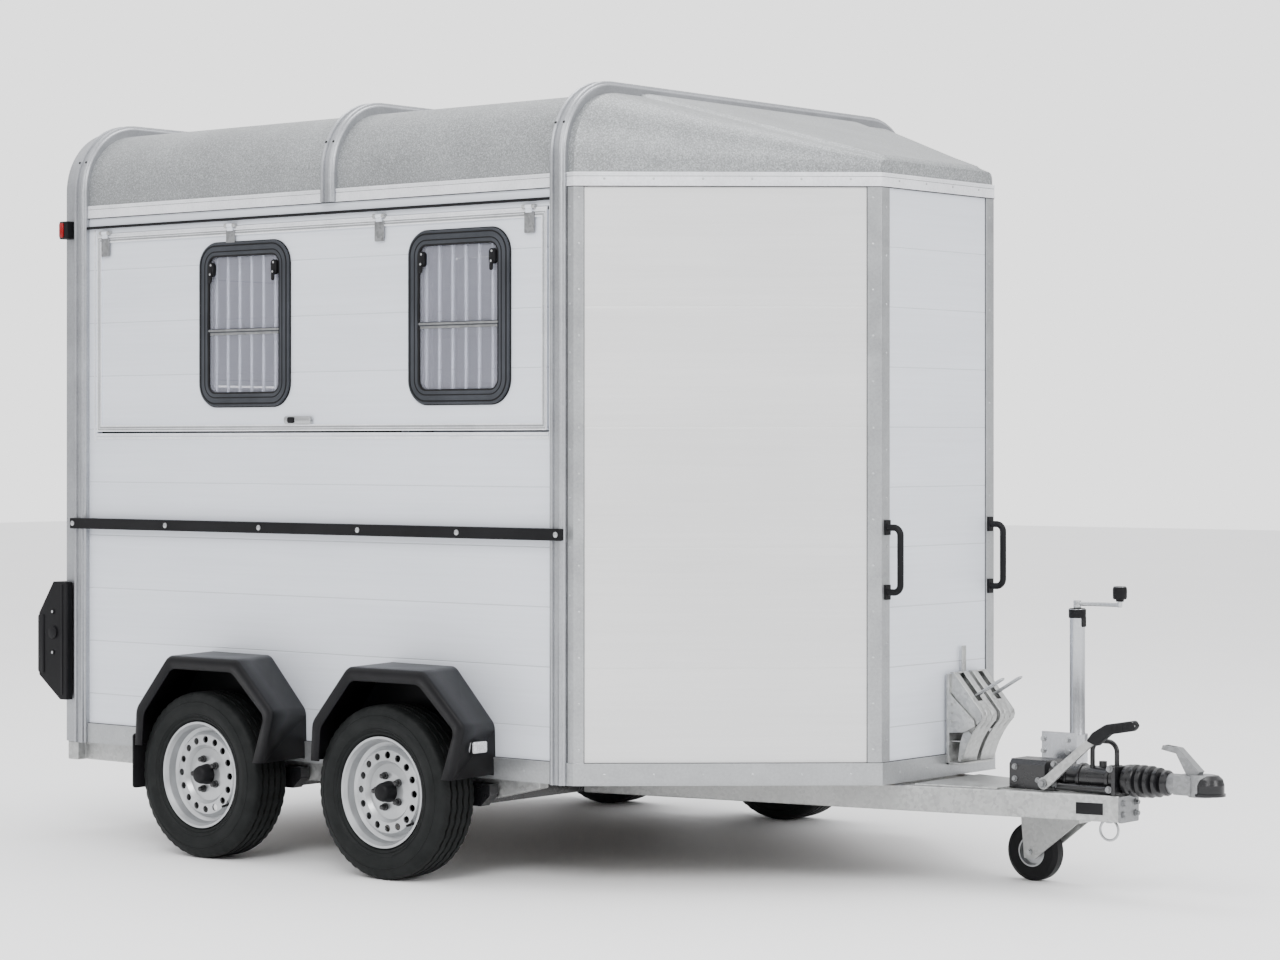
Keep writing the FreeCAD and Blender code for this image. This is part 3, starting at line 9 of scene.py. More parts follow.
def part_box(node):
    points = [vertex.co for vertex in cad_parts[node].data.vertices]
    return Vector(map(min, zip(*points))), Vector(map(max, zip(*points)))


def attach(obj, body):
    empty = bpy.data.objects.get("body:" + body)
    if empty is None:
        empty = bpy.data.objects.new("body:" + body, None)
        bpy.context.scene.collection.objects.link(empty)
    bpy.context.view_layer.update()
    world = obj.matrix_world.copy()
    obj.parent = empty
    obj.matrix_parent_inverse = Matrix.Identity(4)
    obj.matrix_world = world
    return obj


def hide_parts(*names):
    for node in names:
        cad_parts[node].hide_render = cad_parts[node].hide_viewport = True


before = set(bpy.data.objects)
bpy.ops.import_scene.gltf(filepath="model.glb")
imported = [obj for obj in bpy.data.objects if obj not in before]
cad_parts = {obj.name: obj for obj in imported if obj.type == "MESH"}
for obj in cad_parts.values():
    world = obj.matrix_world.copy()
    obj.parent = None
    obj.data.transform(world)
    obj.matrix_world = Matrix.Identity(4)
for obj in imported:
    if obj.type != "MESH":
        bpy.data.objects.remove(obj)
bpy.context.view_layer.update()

bl_info = {
    "name": "Horse Trailer Dressing",
    "version": (1, 0, 0),
    "blender": (4, 5, 0),
    "location": "View3D > Sidebar > Horse Trailer",
    "description": "Finishes and small parts of a twin-axle horse trailer",
    "category": "Object",
}

# Lengths are in metres. +X points to the coupling, +Y to the trailer's left, +Z up.
# Stations along X are given from the middle between the axles, as on the drawing.
front_low, front_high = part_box("tyre_front_right")
rear_low, rear_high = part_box("tyre_rear_right")
WHEEL_FRONT = (front_low[0] + front_high[0]) / 2
WHEEL_REAR = (rear_low[0] + rear_high[0]) / 2
AXLES_MID = (WHEEL_FRONT + WHEEL_REAR) / 2
TYRE_R = (front_high[2] - front_low[2]) / 2
TYRE_Y = -(front_low[1] + front_high[1]) / 2
TYRE_W = front_high[1] - front_low[1]
WHEELS = [
    ("%s_%s" % (end, hand), x, side)
    for end, x in (("front", WHEEL_FRONT), ("rear", WHEEL_REAR)) for hand, side in (("right", -1), ("left", 1))]
WALL_Y = 1.0
HOOP_Y = 1.022
RIGHT, LEFT = (0, -1, 0), (0, 1, 0)
FORWARD, BACK, UP = (1, 0, 0), (-1, 0, 0), (0, 0, 1)
SHARP = 35
TINY = 1e-6


def at(x):
    """A station from the middle between the axles, as an X of the part's frame."""
    return x + AXLES_MID


# Shapes


def block(bm, low, high):
    """A cuboid between two corners."""
    low, high = Vector(low), Vector(high)
    verts = bmesh.ops.create_cube(bm, size=1.0)["verts"]
    bmesh.ops.scale(bm, vec=high - low, verts=verts)
    bmesh.ops.translate(bm, vec=(low + high) / 2, verts=verts)


def aimed(aim, centre):
    """The place of a shape that is built along +Z and has to point along a direction."""
    turn = Vector(UP).rotation_difference(Vector(aim)).to_matrix().to_4x4()
    return Matrix.Translation(Vector(centre)) @ turn


def cone(bm, place, sides, r0, r1, low, high):
    """A solid cone or cylinder between two heights over a place."""
    bmesh.ops.create_cone(
        bm, cap_ends=True, segments=sides, radius1=r0, radius2=r1, depth=high - low,
        matrix=place @ Matrix.Translation((0, 0, (low + high) / 2)))


def barrel(bm, centre, r0, r1, length, sides=20):
    """A round piece along Y, centred on a point, with one radius at each end."""
    cone(bm, aimed(LEFT, centre), sides, r0, r1, -length / 2, length / 2)


def dome(bm, aim, centre, r, height, sides=12):
    """A low round head that stands on a surface, pointing along a direction."""
    place = aimed(aim, centre)
    cone(bm, place, sides, r, r * 0.94, 0, height * 0.5)
    cone(bm, place, sides, r * 0.94, r * 0.45, height * 0.5, height)


def hexagon(bm, aim, centre, r, height):
    """A nut or bolt head with a washer under it."""
    place = aimed(aim, centre)
    cone(bm, place, 20, r * 1.35, r * 1.35, 0, height * 0.3)
    cone(bm, place, 6, r, r * 0.96, height * 0.3, height)


def lathe(bm, outline, axis, centre, steps=48):
    """A turned piece from (along, radius) points about the Y or the Z axis through a centre."""
    centre, along, out = Vector(centre), Vector(LEFT if axis == "Y" else UP), Vector(FORWARD)
    row = [bm.verts.new(centre + along * a + out * r) for a, r in outline]
    edges = [bm.edges.new(pair) for pair in zip(row, row[1:])]
    bmesh.ops.spin(
        bm, geom=row + edges, cent=centre, axis=along, angle=math.tau, steps=steps, use_merge=True,
        use_duplicate=False)


def point(plane, a, b, depth):
    """A point of a plane that is named after its two axes, at a depth along the third."""
    return {"XZ": (a, depth, b), "YZ": (depth, a, b), "XY": (a, b, depth)}[plane]


def only(kind, things):
    """The vertices, the edges or the faces among the results of an operator."""
    return [thing for thing in things if isinstance(thing, kind)]


def thicken(bm, faces, plane, depth):
    """Gives flat faces a thickness along the plane's third axis."""
    grown = bmesh.ops.extrude_face_region(bm, geom=faces)["geom"]
    bmesh.ops.translate(bm, vec=Vector(point(plane, 0, 0, depth)), verts=only(bmesh.types.BMVert, grown))


def slab(bm, outline, plane, low, high):
    """A prism from an outline; XZ outlines run along Y, YZ along X and XY along Z."""
    face = bm.faces.new([bm.verts.new(point(plane, a, b, low)) for a, b in outline])
    thicken(bm, [face], plane, high - low)


def arc_rect(a0, a1, b0, b1, r, steps=6):
    """A rectangle's outline with round corners."""
    corners = ((a1 - r, b0 + r, -90), (a1 - r, b1 - r, 0), (a0 + r, b1 - r, 90), (a0 + r, b0 + r, 180))
    turns = [(a, b, math.radians(start + 90 * k / steps)) for a, b, start in corners for k in range(steps + 1)]
    return [(a + r * math.cos(turn), b + r * math.sin(turn)) for a, b, turn in turns]


def tile(bm, plane, a0, a1, b0, b1, r, steps, low, high):
    """A plate with round corners."""
    slab(bm, arc_rect(a0, a1, b0, b1, r, steps), plane, low, high)


def band(bm, outer, inner, plane, low, high):
    """A closed frame between two outlines with the same number of points."""
    rings = [[bm.verts.new(point(plane, a, b, low)) for a, b in ring] for ring in (outer, inner)]
    pairs = [list(zip(ring, ring[1:] + ring[:1])) for ring in rings]
    faces = [bm.faces.new((a, b, d, c)) for (a, b), (c, d) in zip(*pairs)]
    thicken(bm, faces, plane, high - low)


def rounded_route(points, bend, steps=6):
    """A route through points with a tangent arc at each inner one."""
    p = [Vector(q) for q in points]
    route = [p[0]]
    for before, corner, after in zip(p, p[1:], p[2:]):
        u = (before - corner).normalized()
        v = (after - corner).normalized()
        half = u.angle(v) / 2
        reach = bend / math.tan(half)
        centre = corner + (u + v).normalized() * (bend / math.sin(half))
        a, b = corner + u * reach - centre, corner + v * reach - centre
        for k in range(steps + 1):
            route.append(centre + a.normalized().slerp(b.normalized(), k / steps) * bend)
    route.append(p[-1])
    return route


def grow(bm, edges):
    """Extrudes edges, and returns the new edges that lie opposite them and the new vertices."""
    grown = bmesh.ops.extrude_edge_only(bm, edges=edges)["geom"]
    verts = only(bmesh.types.BMVert, grown)
    return [e for e in only(bmesh.types.BMEdge, grown) if e.verts[0] in verts and e.verts[1] in verts], verts


def pipe(bm, route, radius, sides=12, closed=False):
    """A round bar along a route of points."""
    route = [Vector(p) for p in route]
    count = len(route)
    aims = []
    for i in range(count):
        before = route[i - 1] if i or closed else route[i]
        after = route[(i + 1) % count] if i + 1 < count or closed else route[i]
        aims.append((after - before).normalized())
    first = bmesh.ops.create_circle(
        bm, cap_ends=False, segments=sides, radius=radius, matrix=aimed(aims[0], route[0]))["verts"]
    start = edges = list({e for v in first for e in v.link_edges})
    for i in range(1, count):
        edges, ring = grow(bm, edges)
        swing = aims[i - 1].rotation_difference(aims[i]).to_matrix().to_4x4()
        shift = Matrix.Translation(route[i]) @ swing @ Matrix.Translation(-route[i - 1])
        bmesh.ops.transform(bm, matrix=shift, verts=ring)
    if closed:
        bmesh.ops.bridge_loops(bm, edges=start + edges)
    else:
        bmesh.ops.contextual_create(bm, geom=start)
        bmesh.ops.contextual_create(bm, geom=edges)


def flip(bm, geom):
    """Mirrors a shape to the trailer's other side."""
    bmesh.ops.scale(bm, vec=(1, -1, 1), verts=only(bmesh.types.BMVert, geom))
    bmesh.ops.reverse_faces(bm, faces=only(bmesh.types.BMFace, geom))


def both_sides(bm):
    """Adds the mirror image on the trailer's other side."""
    flip(bm, bmesh.ops.duplicate(bm, geom=bm.verts[:] + bm.edges[:] + bm.faces[:])["geom"])


def face_out(bm):
    """Turns the faces of a closed shape outwards, or all faces of an open one the same way."""
    bmesh.ops.recalc_face_normals(bm, faces=bm.faces[:])


def turn_round(bm):
    """Turns all faces the other way."""
    bmesh.ops.reverse_faces(bm, faces=bm.faces[:])


def soften(bm, width, segments=2, limit=SHARP):
    """Rounds the edges that turn by more than an angle."""
    sharp = [e for e in bm.edges if e.is_manifold and e.calc_face_angle(0) > math.radians(limit)]
    bmesh.ops.bevel(
        bm, geom=sharp, offset=width, offset_type="OFFSET", affect="EDGES", segments=segments, profile=0.5,
        material=-1, clamp_overlap=True)


def piece(name, bm, finish, slot="trim", body="trailer", keep_normals=False, crease=SHARP):
    """Turns a shape into a piece of the trailer that rides on a body."""
    bmesh.ops.remove_doubles(bm, verts=bm.verts[:], dist=TINY)
    if not keep_normals:
        face_out(bm)
    mesh = bpy.data.meshes.new(name)
    bm.to_mesh(mesh)
    bm.free()
    for polygon in mesh.polygons:
        polygon.use_smooth = True
    mesh.set_sharp_from_angle(angle=math.radians(crease))
    thing = bpy.data.objects.new(name, mesh)
    bpy.context.scene.collection.objects.link(thing)
    mesh.materials.append(look(finish))
    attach(thing, body)
    return thing


def build(rows):
    """A shape from rows: each holds a function that works on the shape, and its values."""
    bm = bmesh.new()
    for work, *values in rows:
        work(bm, *values)
    return bm


def fit(name, finish, rows, slot="trim", body="trailer", **rest):
    """A piece from rows."""
    return piece(name, build(rows), finish, slot, body, **rest)


# Finishes


def shade(colour, light):
    """A colour made lighter or darker."""
    return tuple(min(v * light, 1) for v in colour)


def feed(tree, socket, value):
    """Gives a socket its value, or links the socket that gives it."""
    if isinstance(value, bpy.types.NodeSocket):
        tree.links.new(value, socket)
    else:
        socket.default_value = (*value, 1) if socket.type == "RGBA" else value


def node(tree, kind, inputs, **settings):
    """A new node with its settings and with its sockets fed."""
    new = tree.nodes.new("ShaderNode" + kind)
    for key, value in settings.items():
        setattr(new, key, value)
    for key, value in inputs.items():
        feed(tree, new.inputs[key], value)
    return new


def colour_ramp(tree, factor, stops):
    """Colours along a factor."""
    new = node(tree, "ValToRGB", {"Fac": factor})
    elements = new.color_ramp.elements
    while len(elements) < len(stops):
        elements.new(1.0)
    for element, (place, colour) in zip(elements, stops):
        element.position = place
        element.color = (*colour, 1)
    return new.outputs["Color"]


class Recipe:
    """A material in the making: its shader, and the nodes that feed it."""

    def __init__(self, name, colour, roughness, metallic=0.0, coat=0.0, specular=0.5):
        self.material = bpy.data.materials.new(name)
        self.material.use_nodes = True
        self.tree = self.material.node_tree
        self.relief = None
        self.coords = node(self.tree, "TexCoord", {})
        self.give("Base Color", colour)
        self.give("Roughness", roughness)
        self.give("Metallic", metallic)
        self.give("Coat Weight", coat)
        self.give("Specular IOR Level", specular)

    def give(self, name, value):
        """A value or a socket for the shader."""
        feed(self.tree, self.tree.nodes["Principled BSDF"].inputs[name], value)

    def place(self, scale=(1, 1, 1), source="Object"):
        """Object coordinates or the map, stretched."""
        inputs = {"Scale": scale, "Vector": self.coords.outputs[source]}
        return node(self.tree, "Mapping", inputs).outputs["Vector"]

    def noise(self, vector, scale, detail, rough):
        """A cloudy pattern from 0 to 1."""
        inputs = {"Scale": scale, "Detail": detail, "Roughness": rough, "Vector": vector}
        return node(self.tree, "TexNoise", inputs).outputs["Fac"]

    def cells(self, vector, scale, output="Distance"):
        """A pattern of cells."""
        return node(self.tree, "TexVoronoi", {"Scale": scale, "Vector": vector}).outputs[output]

    def math(self, what, *values):
        """One step of arithmetic."""
        return node(self.tree, "Math", dict(enumerate(values)), operation=what).outputs[0]

    def axis(self, vector, name):
        """One coordinate of a vector."""
        return node(self.tree, "SeparateXYZ", {0: vector}).outputs[name]

    def ramp(self, factor, stops):
        """Colours along a factor."""
        return colour_ramp(self.tree, factor, stops)

    def mix(self, factor, a, b):
        """Two colours mixed."""
        return node(self.tree, "Mix", {0: factor, 6: a, 7: b}, data_type="RGBA").outputs[2]

    def blend(self, *parts):
        """A sum of sockets, each with its weight."""
        total = None
        for socket, weight in reversed(parts):
            share = self.math("MULTIPLY", socket, weight)
            total = share if total is None else self.math("ADD", share, total)
        return total

    def tones(self, factor, colour, *stops):
        """The base colour, lighter and darker along a factor."""
        self.give("Base Color", self.ramp(factor, [(place, shade(colour, light)) for place, light in stops]))

    def roughness(self, factor, low, high):
        """A roughness spread between two values by a factor."""
        spread = node(self.tree, "MapRange", {"Value": factor, "To Min": low, "To Max": high})
        self.give("Roughness", spread.outputs["Result"])

    def bump(self, height, distance, strength):
        """Adds relief of a real height in metres."""
        inputs = {"Strength": strength, "Distance": distance, "Height": height}
        if self.relief:
            inputs["Normal"] = self.relief
        self.relief = node(self.tree, "Bump", inputs).outputs["Normal"]
        self.give("Normal", self.relief)


def plank_metal(name, colour, pitch, offset, seam_tone=0.62):
    """Satin aluminium planks laid one on another, with a fine joint between them."""
    r = Recipe(name, colour, 0.42, 0.25)
    base = r.place()
    row = r.math("DIVIDE", r.math("SUBTRACT", r.axis(base, "Z"), offset), pitch)
    part = r.math("FRACT", row)
    edge = r.math("MINIMUM", part, r.math("SUBTRACT", 1.0, part))
    joint = r.math("SMOOTH_MIN", r.math("DIVIDE", edge, 0.012), 1.0, 0.2)
    streak = r.noise(r.place(scale=(0.6, 0.6, 26)), 3.0, 4, 0.6)
    cloud = r.noise(base, 1.3, 2, 0.5)
    step = r.noise(r.place(scale=(0.01, 0.01, 5.0)), 1.0, 0, 0.5)
    tone = r.blend((streak, 0.35), (cloud, 0.35), (step, 0.3))
    surface = r.ramp(tone, ((0.35, shade(colour, 0.93)), (0.65, shade(colour, 1.05))))
    r.give("Base Color", r.mix(joint, shade(colour, seam_tone), surface))
    r.roughness(streak, 0.36, 0.50)
    r.bump(joint, 0.0012, 0.7)
    r.bump(streak, 0.0002, 0.5)
    return r.material


def drawn_metal(name, colour, roughness=0.36, metallic=0.8, depth=0.00012):
    """Extruded or rolled metal with fine marks and patches."""
    r = Recipe(name, colour, roughness, metallic)
    fine = r.noise(r.place(scale=(2, 2, 2)), 60, 5, 0.6)
    patch = r.noise(r.place(), 7, 3, 0.6)
    r.tones(r.blend((fine, 0.5), (patch, 0.5)), colour, (0.32, 0.80), (0.68, 1.1))
    r.roughness(patch, roughness - 0.08, roughness + 0.14)
    r.bump(fine, depth, 0.6)
    return r.material


def zinc(name, colour=(0.42, 0.425, 0.42)):
    """Hot-dip galvanised steel: crystals of different greys, dull and bright."""
    r = Recipe(name, colour, 0.42, 0.75)
    base = r.place()
    cell = r.axis(r.cells(base, 90, output="Color"), "X")
    fine = r.noise(base, 220, 3, 0.6)
    cloud = r.noise(base, 9, 3, 0.6)
    r.tones(r.blend((cell, 0.4), (fine, 0.2), (cloud, 0.4)), colour, (0.2, 0.72), (0.8, 1.18))
    r.roughness(cell, 0.34, 0.56)
    r.bump(cloud, 0.0006, 0.5)
    return r.material


def stipple_roof(name, colour=(0.235, 0.245, 0.25)):
    """Grey moulded roof with a coarse grain and painted glints as bright specks."""
    r = Recipe(name, colour, 0.42, 0.35, specular=0.6)
    base = r.place()
    grain = r.noise(base, 190, 2, 0.7)
    tone = r.blend((grain, 0.75), (r.noise(base, 3, 3, 0.5), 0.25))
    skin = r.ramp(tone, ((0.36, shade(colour, 0.66)), (0.52, colour), (0.66, shade(colour, 1.5))))
    # Bright specks painted into the colour as glints
    painted_glint = r.math("GREATER_THAN", r.axis(r.cells(base, 240, output="Color"), "X"), 0.80)
    r.give("Base Color", r.mix(r.math("MULTIPLY", painted_glint, 0.32), skin, shade(colour, 2.0)))
    r.roughness(grain, 0.26, 0.62)
    r.bump(grain, 0.0011, 0.8)
    r.bump(r.cells(base, 120), 0.0005, 0.4)
    return r.material


def moulded(name, colour, roughness=0.5, grain=600, depth=0.00025, specular=0.12):
    """Moulded plastic or rubber with a fine skin."""
    r = Recipe(name, colour, roughness, specular=specular)
    base = r.place()
    cloud = r.noise(base, 5, 4, 0.6)
    r.tones(cloud, colour, (0.3, 0.75), (0.7, 1.25))
    r.roughness(cloud, roughness - 0.07, roughness + 0.09)
    r.bump(r.cells(base, grain), depth, 0.5)
    return r.material


def painted(name, colour, roughness=0.28, metallic=0.0, coat=0.3):
    """Sprayed paint with a little orange peel."""
    r = Recipe(name, colour, roughness, metallic, coat)
    base = r.place()
    cloud = r.noise(base, 8, 4, 0.6)
    r.tones(cloud, colour, (0.3, 0.86), (0.7, 1.08))
    r.roughness(cloud, max(roughness - 0.06, 0.02), roughness + 0.1)
    r.bump(r.noise(base, 320, 2, 0.5), 0.00012, 0.5)
    return r.material


def tyre_rubber(name):
    """Tyre rubber: grooves and fine sipes on the tread, darkened with painted shade, faint rings on the side."""
    r = Recipe(name, (0.008, 0.009, 0.009), 0.62, specular=0.16)
    way = r.place(source="UV")
    u, v = r.axis(way, "X"), r.axis(way, "Y")
    edge = r.math("ABSOLUTE", v)
    side = r.math("GREATER_THAN", edge, SIDE_UV)
    groove_shade = r.math("MAXIMUM", r.math("COMPARE", edge, 0.0145, 0.0052), r.math("COMPARE", edge, 0.0435, 0.0052))
    shear = r.math("ADD", u, r.math("MULTIPLY", r.math("PINGPONG", v, 0.018), 0.8))
    cut = r.math("LESS_THAN", r.math("PINGPONG", shear, 0.0085), 0.0011)
    sipes = r.math("MULTIPLY", cut, r.math("SUBTRACT", 1.0, side))
    base = r.place()
    cloud = r.noise(base, 14, 4, 0.6)
    dust = r.ramp(cloud, ((0.35, (0.004, 0.005, 0.005)), (0.75, (0.011, 0.012, 0.012))))
    # Painted shade: the grooves and the sipes are darkened in the colour
    r.give("Base Color", r.mix(r.math("MAXIMUM", sipes, groove_shade), dust, (0.002, 0.002, 0.002)))
    r.roughness(cloud, 0.50, 0.74)
    r.bump(r.math("SUBTRACT", 1.0, sipes), 0.004, 0.8)
    rings = r.math("MULTIPLY", r.math("PINGPONG", v, 0.003), 120.0)
    r.bump(r.math("MULTIPLY", rings, side), 0.0010, 0.5)
    r.bump(r.noise(base, 400, 2, 0.6), 0.0002, 0.5)
    return r.material


def window_glass(name, colour=(0.62, 0.63, 0.72)):
    """Lightly smoked acrylic."""
    r = Recipe(name, colour, 0.05)
    r.give("Transmission Weight", 0.70)
    r.give("IOR", 1.04)
    r.give("Alpha", 0.55)
    cloud = r.noise(r.place(), 4, 2, 0.5)
    r.tones(cloud, colour, (0.3, 0.94), (0.7, 1))
    r.roughness(cloud, 0.03, 0.08)
    return r.material


def lamp_lens(name, colour):
    """Clear coloured lens with fine prisms behind a smooth face."""
    r = Recipe(name, colour, 0.16, coat=0.15, specular=0.3)
    prism = r.cells(r.place(), 220)
    r.tones(prism, colour, (0.0, 1.25), (0.6, 0.6))
    r.roughness(prism, 0.08, 0.2)
    r.bump(prism, 0.0004, 0.4)
    return r.material


def floor_board(name):
    """Dark film-faced board with wood grain under it."""
    r = Recipe(name, (0.10, 0.07, 0.05), 0.55)
    grain = r.noise(r.place(scale=(1.5, 22, 22)), 6, 6, 0.65)
    r.give("Base Color", r.ramp(grain, ((0.3, (0.05, 0.035, 0.025)), (0.7, (0.14, 0.10, 0.07)))))
    r.roughness(grain, 0.45, 0.7)
    r.bump(grain, 0.0005, 0.5)
    return r.material


def stage_floor(name, colour=(0.93, 0.93, 0.93)):
    """The studio's pale matt floor."""
    r = Recipe(name, colour, 0.6, specular=0.2)
    r.tones(r.noise(r.place(), 0.7, 3, 0.6), colour, (0.3, 0.985), (0.7, 1))
    return r.material


# Each row holds the finish's function, its name, its colour or the setting that holds it, and other values.
BLACK = (0.010, 0.010, 0.011)
LOOKS = {
    "panel": (plank_metal, "Panel planks", "panel", {"pitch": 0.2, "offset": 1.14}),
    "sheet": (plank_metal, "Nose sheet", "sheet", {"pitch": 0.4, "offset": 0.74, "seam_tone": 0.92}),
    "trim": (drawn_metal, "Trim extrusion", "trim", {"roughness": 0.34, "metallic": 0.7}),
    "white_trim": (drawn_metal, "Pale trim", (0.72, 0.73, 0.76), {"roughness": 0.40, "metallic": 0.2}),
    "hoop": (drawn_metal, "Hoop extrusion", "hoop", {}),
    "bright": (drawn_metal, "Bright zinc", (0.46, 0.47, 0.48), {"roughness": 0.28, "metallic": 0.9}),
    "smooth_zinc": (
        drawn_metal, "Smooth zinc", (0.43, 0.44, 0.46), {"roughness": 0.22, "metallic": 0.95, "depth": 0.00005}),
    "zinc": (zinc, "Galvanised steel", None, {}),
    "cast": (zinc, "Cast zinc", (0.25, 0.255, 0.26), {}),
    "roof": (stipple_roof, "Roof shell", None, {}),
    "board": (floor_board, "Floor board", None, {}),
    "black_plastic": (moulded, "Black plastic", "plastic", {"roughness": 0.42}),
    "guard": (moulded, "Mudguard plastic", "plastic", {"roughness": 0.36, "grain": 420, "depth": 0.0004}),
    "rubber": (moulded, "Black rubber", BLACK, {}),
    "grey_rubber": (moulded, "Grey seal", (0.036, 0.039, 0.045), {"roughness": 0.42}),
    "plate": (moulded, "Type plate", BLACK, {"roughness": 0.45}),
    "gaiter": (moulded, "Gaiter rubber", (0.006, 0.006, 0.007), {"roughness": 0.24, "specular": 0.42}),
    # Used for the dark lines, which are partly painted shade, and for the hoop screws
    "shadow": (moulded, "Dark joint", (0.03, 0.03, 0.032), {"roughness": 0.6}),
    "tyre": (tyre_rubber, "Tyre rubber", None, {}),
    "silver": (painted, "Wheel silver", (0.43, 0.44, 0.45), {"roughness": 0.33, "metallic": 0.80}),
    "black_paint": (painted, "Black paint", (0.008, 0.008, 0.009), {"roughness": 0.25, "coat": 0.1}),
    "glass": (window_glass, "Window acrylic", None, {}),
    "red": (lamp_lens, "Red lens", (0.30, 0.004, 0.006), {}),
    "amber": (lamp_lens, "Amber lens", (0.55, 0.12, 0.004), {}),
    "clear": (lamp_lens, "Clear lens", (0.62, 0.63, 0.65), {}),
}
made = {}


def look(name):
    """The finish of that name, made the first time that it is asked for."""
    if name not in made:
        make, title, colour, values = LOOKS[name]
        if isinstance(colour, str):
            colour = tuple(getattr(bpy.context.scene.trailer_finishes, colour))
        made[name] = make(title, **values) if colour is None else make(title, colour, **values)
    return made[name]


# The nodes under each finish, and how far each node's edges are rounded.
FINISHED = {
    "black_paint": ("axles", "overrun_housing"),
    "black_plastic": ("grab_handles", "lamps", "side_strips"),
    "board": ("floor",),
    "bright": ("jockey_crank",),
    "cast": ("coupling_head",),
    "gaiter": ("soft_covers",),
    "glass": ("window_panes_right", "window_panes_left"),
    "grey_rubber": ("window_frames_right", "window_frames_left"),
    "guard": ("mudguards",),
    "hoop": ("hoops", "rear_portal"),
    "panel": ("front_panel", "ramp", "side_flap_right", "side_flap_left", "side_walls", "top_flap"),
    "roof": ("roof_cap", "roof_shell"),
    "rubber": ("jockey_tyre",),
    "sheet": ("nose_panels",),
    "silver": ("jockey_rim", "rim_front_right", "rim_rear_right", "rim_front_left", "rim_rear_left"),
    "smooth_zinc": ("jockey_holder", "jockey_stem"),
    "trim": ("edge_strips",),
    "tyre": ("tyre_front_right", "tyre_rear_right", "tyre_front_left", "tyre_rear_left"),
    "white_trim": ("roof_trims",),
    "zinc": ("chassis", "chocks", "cross_members", "handbrake_lever", "hinges", "jockey_fork"),
}
NODE_LOOKS = {node: finish for finish, nodes in FINISHED.items() for node in nodes}
SOFT_EDGES = {
    "edge_strips": 0.0012, "hoops": 0.0015, "rear_portal": 0.002, "roof_trims": 0.0015, "chassis": 0.004,
    "cross_members": 0.002, "side_strips": 0.003, "overrun_housing": 0.003, "lamps": 0.008,
    "handbrake_lever": 0.004, "coupling_head": 0.003, "jockey_holder": 0.002, "jockey_fork": 0.002,
    "chocks": 0.002, "axles": 0.003, "window_frames_right": 0.005, "window_frames_left": 0.005,
    "jockey_crank": 0.0025, "side_flap_right": 0.0012, "side_flap_left": 0.0012, "ramp": 0.003,
    "top_flap": 0.003, "grab_handles": 0.0015,
}


class TrailerSizes(bpy.types.PropertyGroup):
    """Sizes of the small parts that a user would change."""
    rivet_pitch: bpy.props.FloatProperty(
        name="Rivet pitch", description="Distance between rivets along a strip", default=0.148, unit="LENGTH")
    rivet_radius: bpy.props.FloatProperty(
        name="Rivet radius", description="Radius of a rivet's head", default=0.0042, unit="LENGTH")
    tread_steps: bpy.props.IntProperty(
        name="Tread steps", description="Steps round a tyre", default=144, min=48)
    tread_depth: bpy.props.FloatProperty(
        name="Tread depth", description="Depth of the grooves round a tyre", default=0.007, unit="LENGTH")
    bolt_ring: bpy.props.FloatProperty(
        name="Wheel bolt circle", description="Radius of the circle of wheel bolts", default=0.056, unit="LENGTH")
    guard_round: bpy.props.FloatProperty(
        name="Mudguard rounding", description="Radius along a mudguard's edges", default=0.016, unit="LENGTH")


class TrailerFinishes(bpy.types.PropertyGroup):
    """Colours of the trailer's main surfaces."""
    panel: bpy.props.FloatVectorProperty(
        name="Panels", description="Colour of the planked walls", subtype="COLOR", size=3,
        default=(0.70, 0.73, 0.79))
    sheet: bpy.props.FloatVectorProperty(
        name="Nose sheets", description="Colour of the slanted nose panels", subtype="COLOR", size=3,
        default=(0.66, 0.66, 0.66))
    trim: bpy.props.FloatVectorProperty(
        name="Trim", description="Colour of the edge strips", subtype="COLOR", size=3,
        default=(0.38, 0.39, 0.40))
    hoop: bpy.props.FloatVectorProperty(
        name="Hoops", description="Colour of the roof hoops", subtype="COLOR", size=3,
        default=(0.36, 0.37, 0.39))
    plastic: bpy.props.FloatVectorProperty(
        name="Black plastic", description="Colour of the mudguards and fittings", subtype="COLOR", size=3,
        default=(0.007, 0.007, 0.008))


class TRAILER_OT_surfaces(bpy.types.Operator):
    """Gives every solid of the frame its finish and softens its edges."""
    bl_idname = "trailer.surfaces"
    bl_label = "Surfaces"

    def execute(self, context):
        for name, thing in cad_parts.items():
            material = look(NODE_LOOKS[name])
            if not thing.data.materials:
                thing.data.materials.append(material)
            for slot in thing.material_slots:
                slot.material = material
            if name in SOFT_EDGES:
                weld = thing.modifiers.new("Weld", "WELD")
                weld.merge_threshold = 0.00002
                round_off = thing.modifiers.new("Rounding", "BEVEL")
                round_off.width = SOFT_EDGES[name]
                round_off.segments = 2
                round_off.limit_method = "ANGLE"
                round_off.angle_limit = math.radians(40)
                round_off.harden_normals = False
        return {"FINISHED"}


SIDE_UV = 0.075
GROOVES = ((-0.047, -0.040), (-0.018, -0.011), (0.011, 0.018), (0.040, 0.047))
TREAD_WAVE = (0.0012, 0.0034, 0.0012, -0.0022)
HALF_W = TYRE_W / 2
